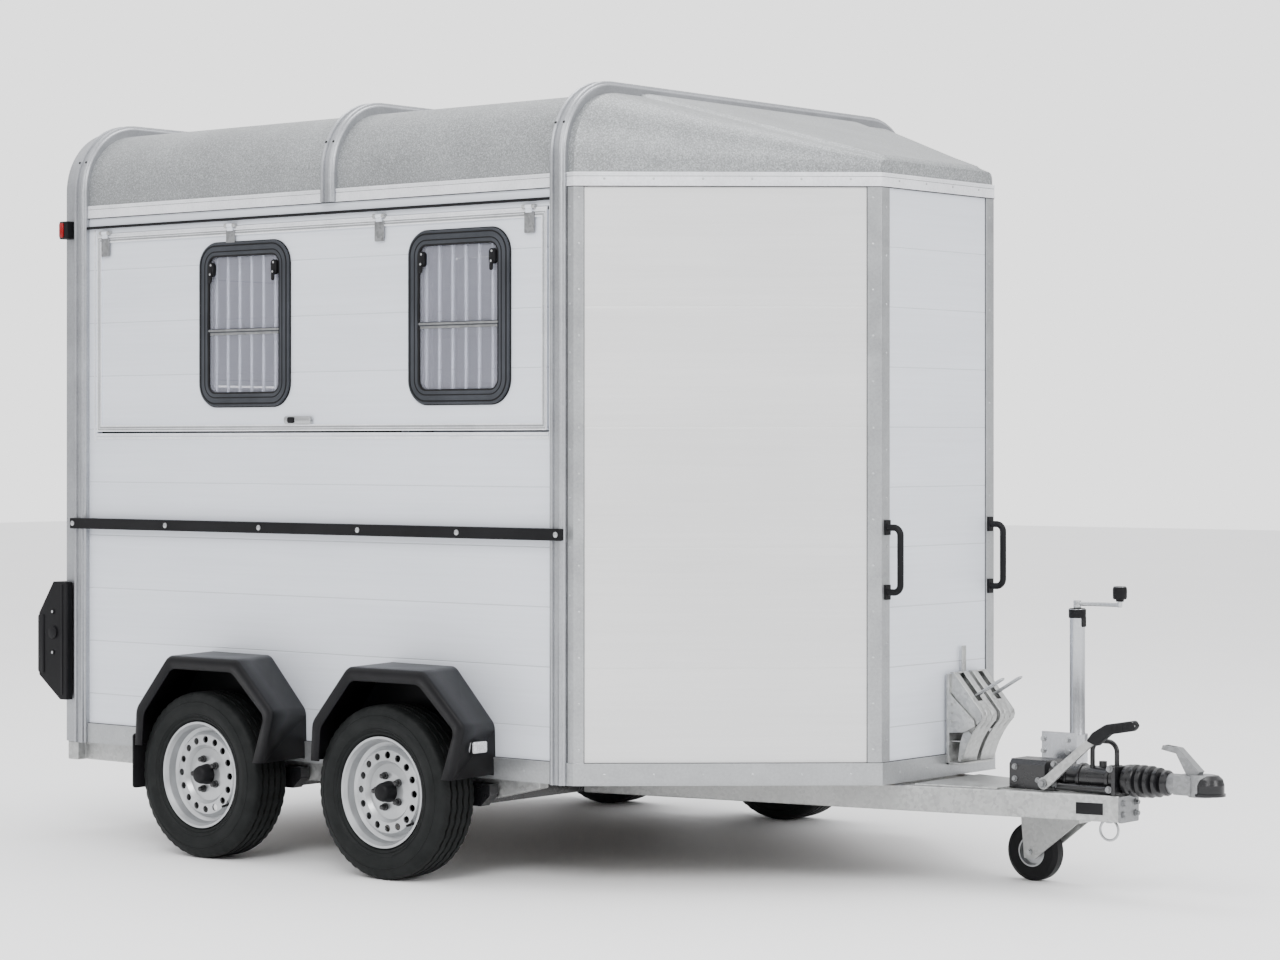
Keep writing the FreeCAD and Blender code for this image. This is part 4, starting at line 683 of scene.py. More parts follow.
# Half of the tyre's outline, from the bead over the side wall to the tread, as (across, radius)
TYRE_LINE = [
    (0.0650, 0.1790), (0.0652, 0.1915), (0.0705, 0.1950), (0.0785, 0.1985), (0.0800, 0.2005), (0.0800, 0.2055),
    (0.0788, 0.2070), (0.0835, 0.2110), (0.0870, 0.2160), (0.0884, 0.2165), (0.0884, 0.2185), (0.0872, 0.2190),
    (HALF_W - 0.0030, 0.2300), (HALF_W - 0.0010, 0.2400), (HALF_W - 0.0002, 0.2470),
] + [(HALF_W - a, TYRE_R - b) for a, b in (
    (0.0035, 0.0375), (0.0022, 0.0365), (0.0026, 0.0345), (0.0048, 0.0335), (0.0095, 0.0180), (0.0150, 0.0085),
    (0.0200, 0.0040), (0.0290, 0.0014))]


def tyre_shape(x, y):
    """A tyre about the Y axis at one wheel, with its tread grooves and a map along the tread."""
    sizes = bpy.context.scene.trailer_sizes
    low, high = TYRE_R - sizes.tread_depth, TYRE_R - 0.0003
    ribs = []
    for a, b in GROOVES:
        ribs += [(a - 0.001, high), (a + 0.0012, low), (b - 0.0012, low), (b + 0.001, high)]
    bm = bmesh.new()
    outline = [(-a, r) for a, r in TYRE_LINE] + ribs + TYRE_LINE[::-1]
    lathe(bm, outline, "Y", (x, y, TYRE_R), sizes.tread_steps)
    bmesh.ops.remove_doubles(bm, verts=bm.verts[:], dist=TINY)

    def polar(co):
        return math.atan2(co.z - TYRE_R, co.x - x), math.hypot(co.x - x, co.z - TYRE_R)

    for v in bm.verts:
        across = abs(v.co.y - y)
        turn, reach = polar(v.co)
        step = round(turn * sizes.tread_steps / math.tau)
        if reach > TYRE_R - 0.02 and across < 0.052:
            v.co.y += TREAD_WAVE[step % len(TREAD_WAVE)]
        elif reach > TYRE_R - 0.02 and HALF_W - 0.0205 < across < HALF_W - 0.009 and step % 3 == 0:
            # Every third step of the shoulder is a notch
            v.co.x = x + (v.co.x - x) * (reach - 0.0035) / reach
            v.co.z = TYRE_R + (v.co.z - TYRE_R) * (reach - 0.0035) / reach
    face_out(bm)
    way = bm.loops.layers.uv.new("UVMap")
    for face in bm.faces:
        base = polar(face.calc_center_median())[0]
        for loop in face.loops:
            turn, reach = polar(loop.vert.co)
            # A face that crosses the seam keeps its angles together
            if turn - base > math.pi:
                turn -= math.tau
            if base - turn > math.pi:
                turn += math.tau
            across = loop.vert.co.y - y
            if abs(across) > HALF_W - 0.03 and reach < TYRE_R - 0.002:
                across = math.copysign(SIDE_UV + (TYRE_R - reach), across)
            loop[way].uv = (turn * TYRE_R, across)
    return bm


class TRAILER_OT_tyres(bpy.types.Operator):
    """Four road tyres with grooved treads."""
    bl_idname = "trailer.tyres"
    bl_label = "Tyres"

    def execute(self, context):
        for key, x, side in WHEELS:
            bm = tyre_shape(x, TYRE_Y * side)
            tyre = piece("tread_" + key, bm, "tyre", "tyre", "wheel_" + key, keep_normals=True, crease=40)
            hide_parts("tyre_" + key)
        return {"FINISHED"}


HUB_CAP = [
    (-0.002, 0.030), (-0.002, 0.0368), (0.010, 0.0362), (0.012, 0.0348), (0.034, 0.0325), (0.0445, 0.0285),
    (0.049, 0.022), (0.050, 0.0)]
VALVE_TURN = math.radians(-42)


class TRAILER_OT_wheel_fittings(bpy.types.Operator):
    """Wheel bolts, hub caps and valves."""
    bl_idname = "trailer.wheel_fittings"
    bl_label = "Wheel fittings"

    def execute(self, context):
        ring = context.scene.trailer_sizes.bolt_ring
        for key, x, side in WHEELS:
            low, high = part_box("rim_" + key)
            face = low[1] if side < 0 else high[1]
            seat = face - side * 0.0445
            body = "wheel_" + key
            bolts = []
            for k in range(5):
                turn = math.radians(180 + 72 * k)
                a, b = x + ring * math.cos(turn), TYRE_R + ring * math.sin(turn)
                bolts.append((barrel, (a, seat + side * 0.002, b), 0.0135, 0.0135, 0.006))
                bolts.append((hexagon, (0, side, 0), (a, seat + side * 0.004, b), 0.0095, 0.020))
            fit("wheel_bolts_" + key, "black_paint", bolts + [(soften, 0.0008)], "black_steel", body)
            cap = [(a * side, r) for a, r in HUB_CAP]
            fit("hub_cap_" + key, "black_plastic", [(lathe, cap, "Y", (x, seat, TYRE_R), 40)],
                "black_plastic", body)
            a, b = math.cos(VALVE_TURN), math.sin(VALVE_TURN)
            near = Vector((x + 0.151 * a, face - side * 0.044, TYRE_R + 0.151 * b))
            far = near + Vector((0.006 * a, side * 0.036, 0.006 * b))
            fit("valve_" + key, "rubber", [(pipe, [near, near.lerp(far, 0.6), far], 0.0045)], "soft_black", body)
        return {"FINISHED"}


# Outlines of a mudguard from its wheel's axle: the outer edge, the foot on the wall and the mouth
GUARD_OUT = [(-0.312, 0.390), (-0.304, 0.525), (-0.132, 0.722), (0.228, 0.722), (0.415, 0.548), (0.357, 0.364)]
GUARD_WALL = [(-0.312, 0.390), (-0.304, 0.525), (-0.150, 0.726), (0.165, 0.724), (0.346, 0.535), (0.350, 0.368)]
LIP = 0.046
GUARD_MOUTH = [(a + i * LIP, b - k * LIP) for (a, b), i, k in zip(
    GUARD_OUT, (1, 1, 0.5, -0.5, -1, -1), (0, 0.4, 1, 1, 0.4, 0))]


class TRAILER_OT_mudguards(bpy.types.Operator):
    """Moulded mudguards with rounded edges, their backs and the mud flaps."""
    bl_idname = "trailer.mudguards"
    bl_label = "Mudguards"

    def execute(self, context):
        out_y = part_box("mudguards")[1][1]
        bm = bmesh.new()
        for x in (WHEEL_FRONT, WHEEL_REAR):
            wall, edge, lip = (
                [bm.verts.new((x + a, y, b)) for a, b in line]
                for line, y in ((GUARD_WALL, -WALL_Y - 0.0003), (GUARD_OUT, -out_y), (GUARD_MOUTH, -out_y)))
            for i in range(5):
                bm.faces.new((wall[i], edge[i], edge[i + 1], wall[i + 1]))
                bm.faces.new((edge[i], lip[i], lip[i + 1], edge[i + 1]))
            pairs = list(zip(wall, edge))[1:5] + list(zip(edge, edge[1:])) + list(zip(edge, lip))[1:5]
            bmesh.ops.bevel(
                bm, geom=[bm.edges.get(pair) for pair in pairs], offset=context.scene.trailer_sizes.guard_round,
                offset_type="OFFSET", affect="EDGES", segments=4, profile=0.5, material=-1, clamp_overlap=True)
        face_out(bm)
        if sum(f.normal.y * f.calc_area() for f in bm.faces) > 0:
            turn_round(bm)
        both_sides(bm)
        guard = piece("mudguard_shells", bm, "guard", "black_plastic", keep_normals=True, crease=50)
        sheet(guard, "Wall", 0.006)
        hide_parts("mudguards")
        flap_x = WHEEL_REAR - 0.312
        fit("mud_flaps", "rubber", [
            (tile, "YZ", -out_y + 0.004, -WALL_Y - 0.014, 0.232, 0.43, 0.012, 6, flap_x - 0.008, flap_x - 0.0005),
            *[(dome, BACK, (flap_x - 0.008, y, 0.41), 0.006, 0.003) for y in (-out_y + 0.03, -1.115, -1.03)],
            (both_sides,)], "soft_black")
        fit("mudguard_backs", "guard", [
            *[(on_wall, [(x + a, b - 0.004) for a, b in GUARD_WALL], 0.0125, 0.0105)
              for x in (WHEEL_FRONT, WHEEL_REAR)],
            (both_sides,)], "black_plastic")
        return {"FINISHED"}


CORNER_X = at(1.150)
NOSE_X = at(1.9215)
NOSE_HALF = 0.337
SLANT = math.atan2(WALL_Y - NOSE_HALF, NOSE_X - CORNER_X)
ALONG = Vector((math.cos(SLANT), math.sin(SLANT), 0))
OUT = Vector((math.sin(SLANT), -math.cos(SLANT), 0))
CORNER = Vector((CORNER_X, -WALL_Y, 0))
NOSE = Vector((NOSE_X, -NOSE_HALF, 0))
# Heights of the rivets in the sills and in the roof trims, and how far each of these stands out
RIVET_ROWS = ((0.389, 0.010), (2.362, 0.007))


class TRAILER_OT_rivets(bpy.types.Operator):
    """Rows of rivets along the edge strips, the sills and the roof trims."""
    bl_idname = "trailer.rivets"
    bl_label = "Rivets"

    def execute(self, context):
        sizes = context.scene.trailer_sizes
        r = sizes.rivet_radius
        rows = []

        def rivet(aim, place, height=0.6):
            rows.append((dome, aim, place, r, r * height, 10))

        for foot, aim, low, high in (
                (CORNER + ALONG * 0.016 + OUT * 0.006, OUT, 0.47, 2.30),
                (Vector((CORNER_X - 0.014, -WALL_Y - 0.006, 0)), RIGHT, 0.50, 2.27),
                (NOSE - ALONG * 0.026 + OUT * 0.005, OUT, 0.47, 2.30),
                (Vector((NOSE_X + 0.005, -NOSE_HALF + 0.026, 0)), FORWARD, 0.50, 2.27)):
            count = max(int((high - low) / sizes.rivet_pitch), 1)
            for k in range(count + 1):
                rivet(aim, (foot.x, foot.y, low + (high - low) * k / count), 0.62)
        for k in range(6):
            foot = CORNER + ALONG * (0.10 + ((NOSE - CORNER).length - 0.2) * k / 5)
            for z, proud in RIVET_ROWS:
                rivet(OUT, foot + OUT * proud + Vector((0, 0, z)))
        for k in range(17):
            x = at(-1.20) + (CORNER_X - at(-1.13)) * k / 16
            if abs(x - at(-0.016)) > 0.07 and x < at(1.05):
                rivet(RIGHT, (x, -WALL_Y - 0.010, RIVET_ROWS[0][0]))
        rows.append((both_sides,))
        for k in range(4):
            for z, proud in RIVET_ROWS:
                rivet(FORWARD, (NOSE_X + proud, -0.24 + 0.48 * k / 3, z))
        fit("rivets", "bright", rows)
        return {"FINISHED"}


HOOPS = ((at(-1.302), 0.352), (at(0.017), 2.338), (at(1.091), 0.352))
HOOP_BEND = 0.261


def hoop_route(x, low, top, steps=10):
    """The line of a hoop across the trailer, from one foot over the roof to the other."""
    points = [(x, -HOOP_Y, low)]
    for start, y in ((180, HOOP_BEND - HOOP_Y), (90, HOOP_Y - HOOP_BEND)):
        for k in range(steps + 1):
            turn = math.radians(start - 90 * k / steps)
            points.append((x, y + HOOP_BEND * math.cos(turn), top - HOOP_BEND + HOOP_BEND * math.sin(turn)))
    return points + [(x, HOOP_Y, low)]


class TRAILER_OT_hoop_beads(bpy.types.Operator):
    """The raised beads along each hoop, with the screws at its shoulders."""
    bl_idname = "trailer.hoop_beads"
    bl_label = "Hoop beads"

    def execute(self, context):
        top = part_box("rear_portal")[1][2] + 0.014
        turn = math.radians(155)
        aim = Vector((0, math.cos(turn), math.sin(turn)))
        beads = [(x + shift, foot) for x, foot in HOOPS for shift in (-0.018, 0.018)]
        fit("hoop_ribs", "hoop", [(pipe, hoop_route(x, foot, top), 0.0085, 8) for x, foot in beads])
        fit("hoop_screws", "shadow", [
            *[(dome, aim, Vector((x, HOOP_BEND - HOOP_Y, top - HOOP_BEND)) + aim * 0.2685, 0.005, 0.003)
              for x, foot in beads],
            (both_sides,)])
        return {"FINISHED"}


class TRAILER_OT_rub_rails(bpy.types.Operator):
    """Bolt heads along the black rub rails."""
    bl_idname = "trailer.rub_rails"
    bl_label = "Rub rail bolts"

    def execute(self, context):
        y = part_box("side_strips")[0][1]
        bolts = (-1.318, -0.80, -0.305, 0.19, 0.66, 1.105)
        fit("rail_bolts", "bright", [(dome, RIGHT, (at(x), y, 1.183), 0.010, 0.005, 16) for x in bolts] + [
            (both_sides,)])
        return {"FINISHED"}


FLAP_X = (at(-1.219), at(1.035))
FLAP_Z = (1.530, 2.266)
WINDOW_X = (at(-0.418), at(0.636))
WINDOW_Z = 1.918
HINGE_X = (at(-1.169), at(-0.487), at(0.264), at(0.960))
LATCH_X = at(-0.140)
FLAPS = ("side_flap_right", "side_flap_left")


def window_outline(x, inset):
    """A window's outline at some distance inside its outer edge."""
    a, b = 0.233 - inset, 0.298 - inset
    return arc_rect(x - a, x + a, WINDOW_Z - b, WINDOW_Z + b, 0.085 - inset, 10)


def flap_outline(inset):
    """A side flap's outline at some distance inside its outer edge."""
    return arc_rect(FLAP_X[0] + inset, FLAP_X[1] - inset, FLAP_Z[0] + inset, FLAP_Z[1] - inset, 0.0015, 1)


def on_wall(bm, outline, proud, foot=0.0048):
    """A plate between two distances out from the right wall."""
    slab(bm, outline, "XZ", -WALL_Y - proud, -WALL_Y - foot)


def wall_tile(bm, x0, x1, z0, z1, r, steps, proud, foot=0.0048):
    """A plate with round corners between two distances out from the right wall."""
    on_wall(bm, arc_rect(x0, x1, z0, z1, r, steps), proud, foot)


def wall_bar(bm, x0, x1, z0, z1, proud, foot):
    """A bar between two distances out from the right wall."""
    block(bm, (x0, -WALL_Y - proud, z0), (x1, -WALL_Y - foot, z1))


def wall_frame(bm, line, outer, inner, proud, foot=0.0048):
    """A frame between two insets of an outline and two distances out from the right wall."""
    band(bm, line(outer), line(inner), "XZ", -WALL_Y - proud, -WALL_Y - foot)


def wall_screw(bm, x, z, proud, r, height):
    """A screw head that stands at a distance out from the right wall."""
    dome(bm, RIGHT, (x, -WALL_Y - proud, z), r, height)


def both_hands(name, finish, rows, slot="trim", bodies=FLAPS, crease=SHARP):
    """One piece on each side of the trailer: made on the right, and mirrored for the left."""
    for hand, body in zip(("right", "left"), bodies):
        bm = build(rows)
        if hand == "left":
            flip(bm, bm.verts[:] + bm.faces[:])
        piece("%s_%s" % (name, hand), bm, finish, slot, body, crease=crease)


class TRAILER_OT_flap_trims(bpy.types.Operator):
    """Profiles, hinge plates and the latch of each side flap."""
    bl_idname = "trailer.flap_trims"
    bl_label = "Flap trims"

    def execute(self, context):
        x0, x1 = FLAP_X
        top = FLAP_Z[1]
        both_hands("flap_profiles", "white_trim", [
            (wall_frame, flap_outline, 0.0, 0.005, 0.0072), (wall_frame, flap_outline, 0.0095, 0.012, 0.0064),
            (wall_frame, flap_outline, 0.0185, 0.024, 0.0068), (soften, 0.0007)])
        both_hands("flap_top_seal", "white_trim", [
            (wall_bar, x0, x1, top - 0.0005, top + 0.0105, 0.0045, -0.0005), (soften, 0.001)])
        # The groove floors between the profiles are a darker grey: painted shade in the grooves
        both_hands("flap_grooves", "trim", [
            (wall_frame, flap_outline, 0.0052, 0.0093, 0.0054), (wall_frame, flap_outline, 0.0122, 0.0183, 0.0054)])
        both_hands("flap_surrounds", "white_trim", [
            *[(wall_bar, x0 - 0.006, x1 + 0.006, z, z + 0.009, proud, -0.001)
              for z, proud in ((1.514, 0.004), (1.501, 0.0025))],
            *[(wall_bar, x, x + 0.005, 1.492, 2.292, 0.0035, -0.001)
              for x in (x0 - 0.020, x1 + 0.008, x1 + 0.016)],
            (soften, 0.0008)], bodies=("trailer", "trailer"))
        plates = []
        for x in HINGE_X:
            plates.append((wall_tile, x - 0.0225, x + 0.0225, 2.190, 2.2625, 0.004, 4, 0.0093))
            for a, z in ((-0.013, 2.204), (0.013, 2.204), (0.0, 2.243)):
                plates.append((wall_screw, x + a, z, 0.0092, 0.0048, 0.0026))
        both_hands("hinge_plates", "cast", plates)
        x = LATCH_X
        both_hands("flap_latch", "bright", [
            (wall_tile, x - 0.072, x + 0.072, 1.555, 1.583, 0.010, 5, 0.0078),
            (wall_tile, x - 0.010, x + 0.070, 1.5585, 1.5795, 0.009, 5, 0.0155, 0.0125),
            (wall_bar, x - 0.004, x + 0.022, 1.561, 1.577, 0.0135, 0.0070),
            (soften, 0.0012),
            *[(wall_screw, x + a, 1.569, 0.0078, 0.0042, 0.0022) for a in (-0.062, 0.062)]])
        both_hands("latch_keeper", "black_plastic", [
            (wall_tile, x - 0.050, x - 0.016, 1.558, 1.580, 0.008, 5, 0.0135, 0.0070), (soften, 0.0015)],
            "black_plastic")
        return {"FINISHED"}


class TRAILER_OT_window_fittings(bpy.types.Operator):
    """Seals, ridges, catches and the middle strip of each window."""
    bl_idname = "trailer.window_fittings"
    bl_label = "Window fittings"

    def execute(self, context):
        seals, ridges, strips, catches, screws = [], [], [], [], []
        for x in WINDOW_X:
            def line(inset, x=x):
                return window_outline(x, inset)
            seals += [
                (wall_frame, line, 0.040, 0.052, 0.0105, 0.0030), (wall_frame, line, -0.004, 0.004, 0.0040, 0.0)]
            ridges += [
                (wall_frame, line, 0.008, 0.013, 0.0138, 0.0110), (wall_frame, line, 0.030, 0.034, 0.0132, 0.0110)]
            strips += [
                (wall_bar, x - 0.186, x + 0.186, 1.893, 1.900, 0.0105, 0.0088),
                (wall_bar, x - 0.186, x + 0.186, 1.880, 1.890, 0.0050, 0.0028)]
            for a in (x - 0.163, x + 0.163):
                catches += [
                    (wall_tile, a - 0.014, a + 0.014, 2.092, 2.146, 0.0135, 6, 0.0185, 0.0030),
                    (wall_tile, a - 0.008, a + 0.008, 2.070, 2.110, 0.0075, 5, 0.0225, 0.0180)]
                screws += [
                    (wall_screw, a, 2.102, 0.0222, 0.0042, 0.002), (wall_screw, a, 2.136, 0.0182, 0.0042, 0.002)]
        both_hands("window_seals", "rubber", seals + [(soften, 0.0012)], "soft_black", crease=30)
        both_hands("window_ridges", "black_plastic", ridges + [(soften, 0.0009)], "black_plastic", crease=30)
        both_hands("window_strips", "cast", strips + [(soften, 0.0005, 1)])
        both_hands("window_catches", "black_plastic", catches + [(soften, 0.002)], "black_plastic")
        both_hands("catch_screws", "bright", screws)
        return {"FINISHED"}


class TRAILER_OT_lamps(bpy.types.Operator):
    """Lenses, bezels and screws of the rear, side and front lamps."""
    bl_idname = "trailer.lamps"
    bl_label = "Lamps"

    def execute(self, context):
        low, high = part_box("lamps")
        rear, front, x = low[0], high[0], at(-1.420)
        for name, finish, z0, z1 in (
                ("tail_lenses", "red", 0.735, 0.825), ("turn_lenses", "amber", 0.660, 0.730),
                ("fog_lenses", "clear", 0.617, 0.655)):
            fit(name, finish, [
                (tile, "YZ", -1.043, -0.925, z0, z1, 0.008, 5, rear - 0.010, rear + 0.002),
                (soften, 0.004, 3), (both_sides,)], "glass")
        rim = [arc_rect(-1.050, -0.916, 0.608, 0.834, 0.012, 5), arc_rect(-1.044, -0.924, 0.616, 0.826, 0.009, 5)]
        fit("rear_lamp_bezels", "black_plastic", [
            (band, *rim, "YZ", rear - 0.007, rear + 0.001), (soften, 0.0015),
            *[(barrel, (x, -1.0535, z), 0.010, 0.0085, 0.004) for z in (0.690, 0.845)],
            (tile, "XZ", x - 0.020, x + 0.026, 0.742, 0.790, 0.022, 8, -1.0585, -1.051),
            (block, (at(-1.488), -1.0555, 0.610), (at(-1.470), -1.051, 0.832)),
            (block, (at(-1.372), -1.0545, 0.530), (at(-1.362), -1.051, 0.950)),
            (soften, 0.0015), (both_sides,)], "black_plastic")
        fit("rear_lamp_screws", "bright", [
            *[(dome, RIGHT, (x, -1.0553, z), 0.0055, 0.0022) for z in (0.690, 0.845)], (both_sides,)])
        fit("side_lamp_red", "red", [
            (tile, "XZ", at(-1.385), at(-1.362), 2.268, 2.324, 0.006, 4, -1.0525, -1.046),
            (tile, "YZ", -1.044, -1.012, 2.268, 2.324, 0.006, 4, at(-1.3925), at(-1.388)),
            (soften, 0.002), (both_sides,)], "glass")
        fit("marker_lenses", "clear", [
            (tile, "YZ", -1.158, -1.092, 0.451, 0.489, 0.006, 5, front - 0.020, front + 0.008),
            (soften, 0.005, 3), (both_sides,)], "glass")
        return {"FINISHED"}


CRANK_KNOB = [
    (0.9575, 0.0085), (0.9575, 0.0125), (0.9645, 0.0140), (0.9655, 0.0216), (0.9700, 0.0236), (0.9960, 0.0240),
    (1.0050, 0.0228), (1.0088, 0.0190), (1.0095, 0.0)]
JOCKEY_COLLAR = [(0.898, 0.0262), (0.898, 0.0292), (0.926, 0.0296), (0.930, 0.026), (0.931, 0.014)]
JOCKEY_X, JOCKEY_Y = at(2.338), 0.219
BEAM_TIP = 2.662
# From the handbrake lever's pivot
LEVER_GRIP = [
    (0.166, 0.150), (0.206, 0.134), (0.254, 0.175), (0.342, 0.191), (0.355, 0.208), (0.343, 0.225), (0.239, 0.207),
    (0.190, 0.178)]


def beam_face(x):
    """The outer face of the right drawbar beam at a station, which slants to the middle."""
    return -(0.056 + (BEAM_TIP - x) * 0.2126)


class TRAILER_OT_drawbar_fittings(bpy.types.Operator):
    """Nuts, plate, ring, grips and knob on the drawbar."""
    bl_idname = "trailer.drawbar_fittings"
    bl_label = "Drawbar fittings"

    def execute(self, context):
        fit("housing_nuts", "cast", [
            *[(hexagon, RIGHT, (at(x), y, z), 0.0085, 0.012) for x, y, z in (
                (2.420, -0.058, 0.432), (2.632, -0.061, 0.430), (2.420, -0.058, 0.365), (2.628, -0.061, 0.362))],
            *[(hexagon, RIGHT, (at(x), -0.0618, z), 0.0075, 0.010) for x, z in (
                (2.270, 0.375), (2.360, 0.375), (2.270, 0.415))],
            (hexagon, RIGHT, (at(2.400), -0.099, 0.370), 0.011, 0.014)], "galvanised")
        fit("bracket_bolts", "bright", [
            *[(hexagon, RIGHT, (at(x) - 0.012, 0.1418, z), 0.0075, 0.009)
              for x in (2.265, 2.360) for z in (0.452, 0.492)],
            *[(hexagon, UP, (at(x), 0.110, 0.3532), 0.009, 0.011) for x in (2.300, 2.376)]], "galvanised")
        plate = [
            (at(x), beam_face(x) - out)
            for x, out in ((2.520, 0.0002), (2.610, 0.0002), (2.610, 0.0018), (2.520, 0.0018))]
        fit("type_plate", "plate", [(slab, plate, "XY", 0.279, 0.317), (soften, 0.0006)])
        turns = [math.tau * k / 32 for k in range(32)]
        ring = [(at(2.596) + 0.034 * math.cos(turn), -0.004, 0.224 + 0.034 * math.sin(turn)) for turn in turns]
        fit("safety_ring", "bright", [
            (pipe, ring, 0.0042, 10, True),
            (tile, "XZ", at(2.580), at(2.612), 0.246, 0.268, 0.010, 5, -0.008, 0.0)], "galvanised")
        tip = at(BEAM_TIP)
        fit("beam_end_plate", "cast", [
            (tile, "YZ", -0.058, 0.058, 0.255, 0.341, 0.006, 4, tip - 0.0005, tip + 0.008),
            *[(hexagon, FORWARD, (tip + 0.008, y, z), 0.0085, 0.012)
              for y in (-0.040, 0.040) for z in (0.282, 0.318)]], "galvanised")
        fit("crank_knob", "black_plastic", [(lathe, CRANK_KNOB, "Z", (at(2.503), JOCKEY_Y, 0.0), 32)],
            "black_plastic", "jockey_crank")
        fit("jockey_collar", "black_plastic", [
            (lathe, JOCKEY_COLLAR, "Z", (JOCKEY_X, JOCKEY_Y, 0.0), 40),
            (tile, "YZ", 0.207, 0.231, 0.868, 0.905, 0.004, 3, JOCKEY_X + 0.0245, JOCKEY_X + 0.0275)],
            "black_plastic")
        x, y, z = at(2.400), -0.090, 0.370
        fit("lever_grip", "rubber", [
            (slab, [(x + a, z + b) for a, b in LEVER_GRIP], "XZ", y - 0.0165, y + 0.0165), (soften, 0.007, 4, 20),
            *[(block, (x + a - 0.004, y - 0.0178, z + b - 0.010), (x + a + 0.004, y - 0.0150, z + b + 0.010))
              for a, b in ((0.262, 0.193), (0.282, 0.1965), (0.302, 0.200), (0.322, 0.2035))]],
            "soft_black", "handbrake_lever", crease=50)
        low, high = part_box("jockey_rim")
        middle = (low[0] + high[0]) / 2
        fit("jockey_axle_nuts", "bright", [
            (hexagon, RIGHT, (middle, low[1] - 0.011, 0.1), 0.008, 0.009),
            (hexagon, LEFT, (middle, high[1] + 0.011, 0.1), 0.008, 0.009)], "galvanised", "jockey_fork")
        return {"FINISHED"}


def sheet(thing, name, thickness):
    """Gives an open shell the thickness of its sheet, inwards."""
    wall = thing.modifiers.new(name, "SOLIDIFY")
    wall.thickness = thickness
    wall.offset = -1


CHOCK_BACK = NOSE_X + 0.016
CHOCK_W = 0.090
# Lines across the chock's sheet: its beads lie at the second line of each group of three
CHOCK_COLS = (0.006, 0.024, 0.028, 0.032, 0.058, 0.062, 0.066, 0.084, CHOCK_W)


def chock_curve():
    """The hollow that the tyre rests in, from the top of the chock to its foot."""
    turns = [math.radians(134.5 + 32.0 * k / 8) for k in range(9)]
    r = TYRE_R - 0.0008
    return [(NOSE_X + 0.356 + r * math.cos(turn), 0.334 + r * math.sin(turn)) for turn in turns]


def from_nose(*points):
    """Points in the XZ plane with X from the front panel."""
    return [(NOSE_X + a, b) for a, b in points]


def chock_shell(y0, curve):
    """The folded sheet of one chock, with two beads and a slot for its bail."""
    bm = bmesh.new()
    line = [bm.verts.new((a, y0, b)) for a, b in [(CHOCK_BACK + 0.004, 0.706)] + from_nose(
        (0.034, 0.706), (0.050, 0.6875), (0.118, 0.6088), (0.148, 0.574), (0.151, 0.560), (0.147, 0.547)) + curve]
    edges = [bm.edges.new(pair) for pair in zip(line, line[1:])]
    reach = 0.0
    for col in CHOCK_COLS:
        edges, verts = grow(bm, edges)
        bmesh.ops.translate(bm, vec=(0, col - reach, 0), verts=verts)
        reach = col
    for v in bm.verts:
        across = v.co.y - y0
        if (0.026 < across < 0.030 or 0.060 < across < 0.064) and v.co.x > NOSE_X + 0.125 and v.co.z > 0.53:
            v.co.x -= 0.007
            v.co.z -= 0.004
    slot = []
    for face in bm.faces:
        x, y, z = face.calc_center_median()
        if 0.026 < y - y0 < 0.064 and NOSE_X + 0.04 < x < NOSE_X + 0.12 and z > 0.6:
            slot.append(face)
    bmesh.ops.inset_region(bm, faces=slot, thickness=0.004, depth=0.0)
    bmesh.ops.delete(bm, geom=slot, context="FACES")
    face_out(bm)
    lid = [f for f in bm.faces if f.calc_center_median().z > 0.70]
    if lid[0].normal.z < 0:
        turn_round(bm)
    return bm


